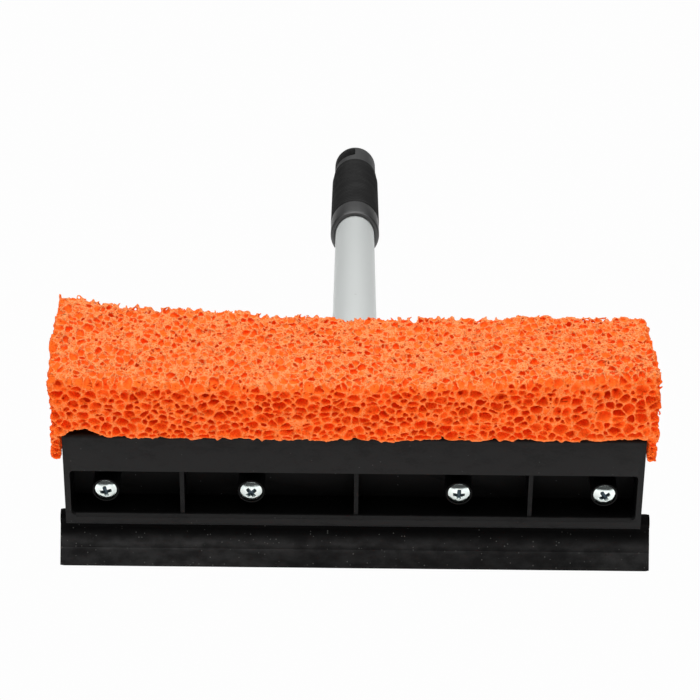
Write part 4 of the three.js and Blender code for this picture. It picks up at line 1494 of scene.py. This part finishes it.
@dataclass
class Screw:
    """A screw with a domed head and a cross recess, about its own axis, in millimetres."""

    RECESS_ATTRIBUTE: ClassVar[str] = "in_recess"

    head_radius: float = 4.1
    head_height: float = 2.45
    dome: float = 6.2
    edge: float = 0.2
    shank: float = 1.9
    length: float = 19.0
    point: float = 3.0
    span: float = 2.35
    slot: float = 0.72
    recess: float = 1.2
    dent: float = 0.025
    sides: int = 120

    def grid(self, turn: float) -> tuple[np.ndarray, ...]:
        """The screw's skin about the Y axis, its seat at y = 0 and its point towards +Y.

        The head's face is y = -(height - dome + sqrt(dome^2 - r^2)), less the recess and
        slight dents. The recess is two crossed arms with sloping sides and ends.

        Args:
            turn: Degrees that the cross is turned.

        Returns:
            The grid of points, how far each lies in the cross recess, and its first and last
            pole.
        """
        angle = np.linspace(0, 2 * math.pi, self.sides, endpoint=False)
        radius = np.linspace(0.06, self.head_radius - self.edge, 46)
        face_y = -(self.head_height - self.dome + np.sqrt(self.dome**2 - radius**2))
        rest = np.array(
            [
                (self.head_radius - 0.08, face_y[-1] + 0.25),
                (self.head_radius, face_y[-1] + 0.45),
                (self.head_radius, -0.02),
                (self.shank + 0.3, 0.0),
                (self.shank, 0.3),
                (self.shank, self.length - self.point),
                (0.3, self.length - 0.2),
            ]
        )
        r = np.concatenate([radius, rest[:, 0]])[:, None] + 0 * angle
        y = np.concatenate([face_y, rest[:, 1]])[:, None] + 0 * angle
        a = angle + math.radians(turn)
        across, up = r * np.cos(a), r * np.sin(a)
        sunk = np.maximum(self.arm(across, up), self.arm(up, across))
        spots = np.stack([across, up, 0 * up + turn], -1).reshape(-1, 3)
        dents = self.dent * LatticeNoise(12, 0.9).at(spots).reshape(r.shape)
        on_face = np.arange(len(y))[:, None] < len(radius)
        y = y + np.where(on_face, self.recess * sunk + dents, 0)
        points = np.stack([r * np.sin(angle), y, r * np.cos(angle)], -1)
        poles = np.array([0.0, y[0].mean(), 0.0]), np.array([0.0, self.length, 0.0])
        return points, np.where(on_face, sunk, 0), *poles

    def arm(self, along: np.ndarray, across: np.ndarray) -> np.ndarray:
        """Share of the depth in one arm: 1 within the slot, 0 beyond its sides and ends."""
        sides = 1 - smoothstep(np.abs(across), self.slot * 0.55, self.slot)
        ends = 1 - smoothstep(np.abs(along), self.span * 0.5, self.span)
        return sides * ends

    def build(
        self, name: str, turn: float, frame: TiltedFrame, spot: Sequence[float], upright: bool
    ) -> bpy.types.Object:
        """Makes the screw.

        Args:
            name: The piece's name.
            turn: Degrees that the cross is turned.
            frame: The frame that it stands in.
            spot: Where its seat is.
            upright: Whether its point is up instead of towards +Y.

        Returns:
            The piece, with how far each point lies in its cross recess in an attribute.
        """
        grid, in_recess, start, end = self.grid(turn)
        points, faces = closed_skin(grid, False, start, end)
        if upright:
            points = np.stack([points[:, 0], -points[:, 2], points[:, 1]], -1)
        piece = made_piece(name, frame.place(points + np.asarray(spot)), faces)
        written(piece, self.RECESS_ATTRIBUTE, np.append(in_recess.ravel(), [1.0, 0.0]))
        return piece


@dataclass
class Screws:
    """The four screws of the head and the one that holds the tube in its socket."""

    SOCKET_TURN: ClassVar[float] = 20.0  # degrees that the fifth's recess is turned
    SHORTER: ClassVar[float] = 2.0  # how much less than that radius the fifth's length is

    offsets: tuple[float, ...] = (-85.9, -35.5, 36.5, 86.9)
    turns: tuple[float, ...] = (12.0, 40.0, 88.0, 31.0)
    seat_y: float = 3.3
    height: float = 13.5
    socket_at: float = 30.0
    socket_radius: float = 12.85
    seat_depth: float = 0.8

    def build(self, head: TiltedFrame, handle: TiltedFrame) -> None:
        """Makes the five screws."""
        zinc = SCREW_ZINC.material()
        for number, (offset, turn) in enumerate(zip(self.offsets, self.turns), 1):
            spot = (offset, self.seat_y, self.height)
            piece = Screw().build(f"zinc_screw_{number}", turn, head, spot, False)
            settle(piece, Body.HEAD, Slot.SCREW_ZINC, zinc, f"housing_screw_{number}")
        short = Screw(length=self.socket_radius - self.SHORTER)
        spot = (0.0, self.socket_at, self.seat_depth - SEAT_GAP - self.socket_radius)
        piece = short.build("zinc_socket_screw", self.SOCKET_TURN, handle, spot, True)
        settle(piece, Body.HEAD, Slot.SCREW_ZINC, zinc, "socket_screw")


# ---- Handle -----------------------------------------------------------------------------


@dataclass
class Handle:
    """The painted tube and the grip that slides over it, in millimetres along the handle."""

    CAP_EDGE: ClassVar[float] = 0.5  # width of the cap's softened edges
    CAP_SKIN: ClassVar[float] = 0.6  # depth under its largest radius from which it takes a painted shade
    TUBE_EDGE: ClassVar[float] = 0.3  # radius of the tube's edges
    SLEEVE_EDGE: ClassVar[float] = 0.35  # how much smaller the sleeve's radius is at its ends

    tube_radius: float = 9.2
    tube_wall: float = 1.0
    tube_end: float = 386.3
    slip: float = 0.25
    collar_at: float = 371.0
    collar_step: float = 386.0
    collar_end: float = 397.0
    collar_radius: float = 11.6
    grip_radius: float = 11.15
    sleeve_at: float = 397.3
    sleeve_end: float = 516.3
    sleeve_radius: float = 11.75
    rib_pitch: float = 4.0
    rib_depth: float = 0.3
    shoulder: float = 1.25
    shoulder_length: float = 15.0
    sides: int = 128

    def build(self, handle: TiltedFrame, nodes: dict[str, bpy.types.Object]) -> None:
        """Makes the tube, the collar, the sleeve and the end cap."""
        self.build_tube(handle)
        self.build_collar(handle)
        self.build_sleeve(handle)
        cap = copied(nodes["end_cap"], "end_cap_moulding", self.CAP_EDGE * MM)
        reach = handle.local(vertices_of(nodes["end_cap"]))[:, (0, 2)]
        skin = (float(np.linalg.norm(reach, axis=1).max()) - self.CAP_SKIN) * MM
        plastic = replace(CAP_PLASTIC, frame=handle, skin=skin)
        settle(cap, Body.GRIP, Slot.GRIP_PLASTIC, plastic.material(), "end_cap")

    def turned_piece(
        self, handle: TiltedFrame, name: str, profile: np.ndarray
    ) -> bpy.types.Object:
        """A closed (radius, along) profile turned about the handle's axis."""
        points, faces = closed_skin(revolved(profile, self.sides), True, None, None)
        return made_piece(name, handle.place(points), faces)

    def build_tube(self, handle: TiltedFrame) -> None:
        """Makes the tube, whose two ends are eased."""
        bore = self.tube_radius - self.tube_wall
        profile = eased(
            [
                (self.tube_radius, SEAT_GAP),
                (self.tube_radius, self.tube_end),
                (bore, self.tube_end),
                (bore, SEAT_GAP),
            ],
            [self.TUBE_EDGE] * 4,
        )
        piece = self.turned_piece(handle, "painted_tube", profile)
        settle(piece, Body.HEAD, Slot.TUBE_PAINT, TUBE_PAINT.material(), "sliding_tube")

    def build_collar(self, handle: TiltedFrame) -> None:
        """Makes the collar at the grip's mouth, with a rounded nose."""
        bore = self.tube_radius + self.slip
        profile = eased(
            [
                (self.collar_radius, self.collar_at),
                (self.collar_radius, self.collar_end),
                (self.grip_radius, self.collar_end),
                (self.grip_radius, self.collar_step),
                (bore, self.collar_step),
                (bore, self.collar_at),
            ],
            [1.4, 0.25, 0.1, 0.1, 0.2, 0.35],
        )
        piece = self.turned_piece(handle, "grip_collar", profile)
        settle(piece, Body.GRIP, Slot.GRIP_PLASTIC, GRIP_PLASTIC.material(), "mouth_collar")

    def build_sleeve(self, handle: TiltedFrame) -> None:
        """Makes the sleeve, narrower at its rear end.

        Its radius dips by depth * (1 - |cos|)^1.5 between its ribs.
        """
        along = np.linspace(self.sleeve_at, self.sleeve_end, 480)
        phase = (along - self.sleeve_at) / self.rib_pitch * math.pi
        from_end = np.minimum(along - self.sleeve_at, self.sleeve_end - along)
        ribs = self.rib_depth * (1 - np.abs(np.cos(phase))) ** 1.5
        ends = self.SLEEVE_EDGE * (1 - smoothstep(from_end, 0.0, 1.0))
        behind = smoothstep(along, self.sleeve_end - self.shoulder_length, self.sleeve_end)
        radius = self.sleeve_radius - ribs * (1 - behind) - ends - self.shoulder * behind
        outside = np.stack([np.maximum(radius, self.grip_radius + 0.05), along], -1)
        inside = np.array([(self.grip_radius, at) for at in (self.sleeve_end, self.sleeve_at)])
        piece = self.turned_piece(handle, "ribbed_sleeve", np.concatenate([outside, inside]))
        settle(piece, Body.GRIP, Slot.SLEEVE_RUBBER, SLEEVE_RUBBER.material(), "grip_sleeve")


@dataclass
class InnerParts:
    """CAD nodes that keep their own shape and get a finish."""

    finishes: dict[str, tuple[Any, Slot]] = field(
        default_factory=lambda: {
            "tube_plug": (HEAD_PLASTIC, Slot.HEAD_PLASTIC),
            "lock_spindle": (LOCK_PLASTIC, Slot.LOCK_PLASTIC),
            "lock_expander": (LOCK_PLASTIC, Slot.LOCK_PLASTIC),
            "lock_cone": (BARE_STEEL, Slot.BARE_STEEL),
            "lock_stop_screw": (SCREW_ZINC, Slot.SCREW_ZINC),
            "grip_tube": (BARE_STEEL, Slot.BARE_STEEL),
        }
    )

    def build(self, nodes: dict[str, bpy.types.Object]) -> None:
        """Gives each node its finish."""
        for name, (finish, slot) in self.finishes.items():
            node = nodes[name]
            node.data.materials.clear()
            node.data.materials.append(finish.material())
            log.info("%s: dressed as %s", name, slot.value)


# ---- Studio -----------------------------------------------------------------------------


@dataclass(frozen=True)
class Lamp:
    """A soft rectangular light that faces the tool and that the camera doesn't see.

    Attributes:
        name: Its name.
        spot: Where it hangs, in metres.
        size: Its two sides in metres.
        power: Its power in watts.
    """

    AIM: ClassVar[Triple] = (0.0, -0.15, 0.05)

    name: str
    spot: Triple
    size: tuple[float, float]
    power: float

    def build(self) -> None:
        """Makes the light."""
        light = bpy.data.lights.new(self.name, "AREA")
        light.shape = "RECTANGLE"
        light.size, light.size_y = self.size
        light.energy = self.power
        lamp = linked(self.name, light)
        lamp.location = self.spot
        lamp.rotation_mode = "QUATERNION"
        aim = Vector(self.AIM) - Vector(self.spot)
        lamp.rotation_quaternion = aim.to_track_quat("-Z", "Y")
        lamp.visible_camera = False


LAMPS = (
    Lamp("overhead_light", (0.0, -0.25, 1.7), (2.4, 2.4), 35.0),
    Lamp("front_light", (0.0, -1.3, 2.2), (1.4, 1.4), 16.0),
    Lamp("low_front_light", (0.0, -1.45, 0.95), (2.4, 0.4), 4.5),
    Lamp("rear_light", (0.0, 1.8, 1.5), (1.6, 1.2), 9.0),
)


@dataclass
class Studio:
    """A pale table and a white room around it, four soft lights and the camera.

    The camera looks at target, in the head frame in millimetres, from distance away and
    above degrees over the front face. Its focal length and frame are in pixels.
    """

    TABLE_HALF: ClassVar[float] = 6.0  # half of the table's side in metres
    TABLE_TOP: ClassVar[float] = -0.0002  # its height in metres
    TABLE_MIDDLE: ClassVar[Triple] = (0.0, -0.2, 0.0)  # the middle of its painted pool of light, paler and glowing
    TABLE_DARKER: ClassVar[float] = 0.4  # its colour beyond that painted pool of light, as a share

    focal: float = 2850.0
    frame: float = 700.0
    sensor: float = 36.0
    above: float = 32.63
    roll: float = 0.59
    target: Triple = (-1.767, 0.0, 73.45)
    distance: float = 953.79
    room: float = 0.08
    backdrop: float = 0.985
    table_tone: float = 0.92
    table_glow: float = 0.45

    def build(self, head: TiltedFrame) -> None:
        """Makes the table, the lights and the camera."""
        bpy.context.scene.view_settings.view_transform = "Standard"
        self.table()
        self.sky()
        for lamp in LAMPS:
            lamp.build()
        self.camera(head)

    def table(self) -> None:
        """Makes the table top, a wide pale sheet that stays plain white in the picture. For all
        but camera rays it glows and is paler near the tool, a painted pool of light that fades
        further out.
        """
        half = self.TABLE_HALF
        mesh = bpy.data.meshes.new("table")
        corners = [(-half, -half), (half, -half), (half, half), (-half, half)]
        mesh.from_pydata([(x, y, self.TABLE_TOP) for x, y in corners], [], [(0, 1, 2, 3)])
        graph = Graph("pale_table")
        spot = graph.node("ShaderNodeTexCoord")["Object"]
        away = graph.node(
            "ShaderNodeVectorMath",
            {"operation": "DISTANCE"},
            {"#0": spot, "#1": self.TABLE_MIDDLE},
        )["Value"]
        beyond = graph.between(away, low=0.25, high=0.6)
        lit = graph.mix((self.table_glow,) * 3, BLACK, beyond)
        tone = (self.table_tone,) * 3
        tone = graph.mix(tone, scaled(tone, self.TABLE_DARKER), beyond)
        matt = graph.node("ShaderNodeBsdfDiffuse", None, {"Color": tone})["BSDF"]
        glow = graph.node("ShaderNodeEmission", None, {"Color": lit})["Emission"]
        matt = graph.node("ShaderNodeAddShader", None, {"#0": matt, "#1": glow})["Shader"]
        plain = graph.node("ShaderNodeEmission", None, {"Strength": self.backdrop})["Emission"]
        seen = graph.node("ShaderNodeLightPath")["Is Camera Ray"]
        both = graph.node("ShaderNodeMixShader", None, {"#0": seen, "#1": matt, "#2": plain})
        graph.node("ShaderNodeOutputMaterial", None, {"Surface": both["Shader"]})
        mesh.materials.append(graph.material)
        sheet = linked("table", mesh)

    def sky(self) -> None:
        """Makes a dim room around the table, white where the camera sees it."""
        world = bpy.data.worlds.new("white_room")
        bpy.context.scene.world = world
        world.use_nodes = True
        nodes, links = world.node_tree.nodes, world.node_tree.links
        path = nodes.new("ShaderNodeLightPath")
        strength = nodes.new("ShaderNodeMapRange")
        strength.inputs["To Min"].default_value = self.room
        strength.inputs["To Max"].default_value = self.backdrop
        links.new(path.outputs["Is Camera Ray"], strength.inputs["Value"])
        nodes["Background"].inputs["Color"].default_value = (1.0, 1.0, 1.0, 1.0)
        links.new(strength.outputs["Result"], nodes["Background"].inputs["Strength"])

    def camera(self, head: TiltedFrame) -> None:
        """Places the camera by angles taken in the head frame."""
        above, roll = math.radians(self.above), math.radians(self.roll)
        ahead = np.array([0.0, math.cos(above), -math.sin(above)])
        level = np.array([1.0, 0.0, 0.0])
        upright = np.cross(level, ahead)
        right = math.cos(roll) * level + math.sin(roll) * upright
        up = -math.sin(roll) * level + math.cos(roll) * upright
        spot = np.asarray(self.target) - self.distance * ahead
        turn = head.turn()
        axes = [axis @ turn for axis in (right, up, -ahead)]
        camera = bpy.data.cameras.new("camera")
        camera.sensor_width = self.sensor
        camera.lens = self.sensor * self.focal / self.frame
        camera.clip_start, camera.clip_end = 0.05, 50.0
        made = linked("camera", camera)
        matrix = Matrix.Identity(4)
        for column, axis in enumerate(axes):
            for row in range(3):
                matrix[row][column] = axis[row]
        matrix.translation = Vector(head.place(spot))
        made.matrix_world = matrix
        bpy.context.scene.camera = made


# ---- Assembly ---------------------------------------------------------------------------


def main() -> None:
    """Builds the looks in order."""
    logging.basicConfig(level=logging.INFO, format="%(name)s: %(message)s")
    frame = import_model()
    head, handle = measured_frames(frame)
    Studio().build(head)
    Housings().build(head, frame["nodes"])
    Blade().build(head)
    Screws().build(head, handle)
    Handle().build(handle, frame["nodes"])
    InnerParts().build(frame["nodes"])
    Sponge().build(head)
    bpy.context.view_layer.update()


if __name__ == "__main__":
    main()
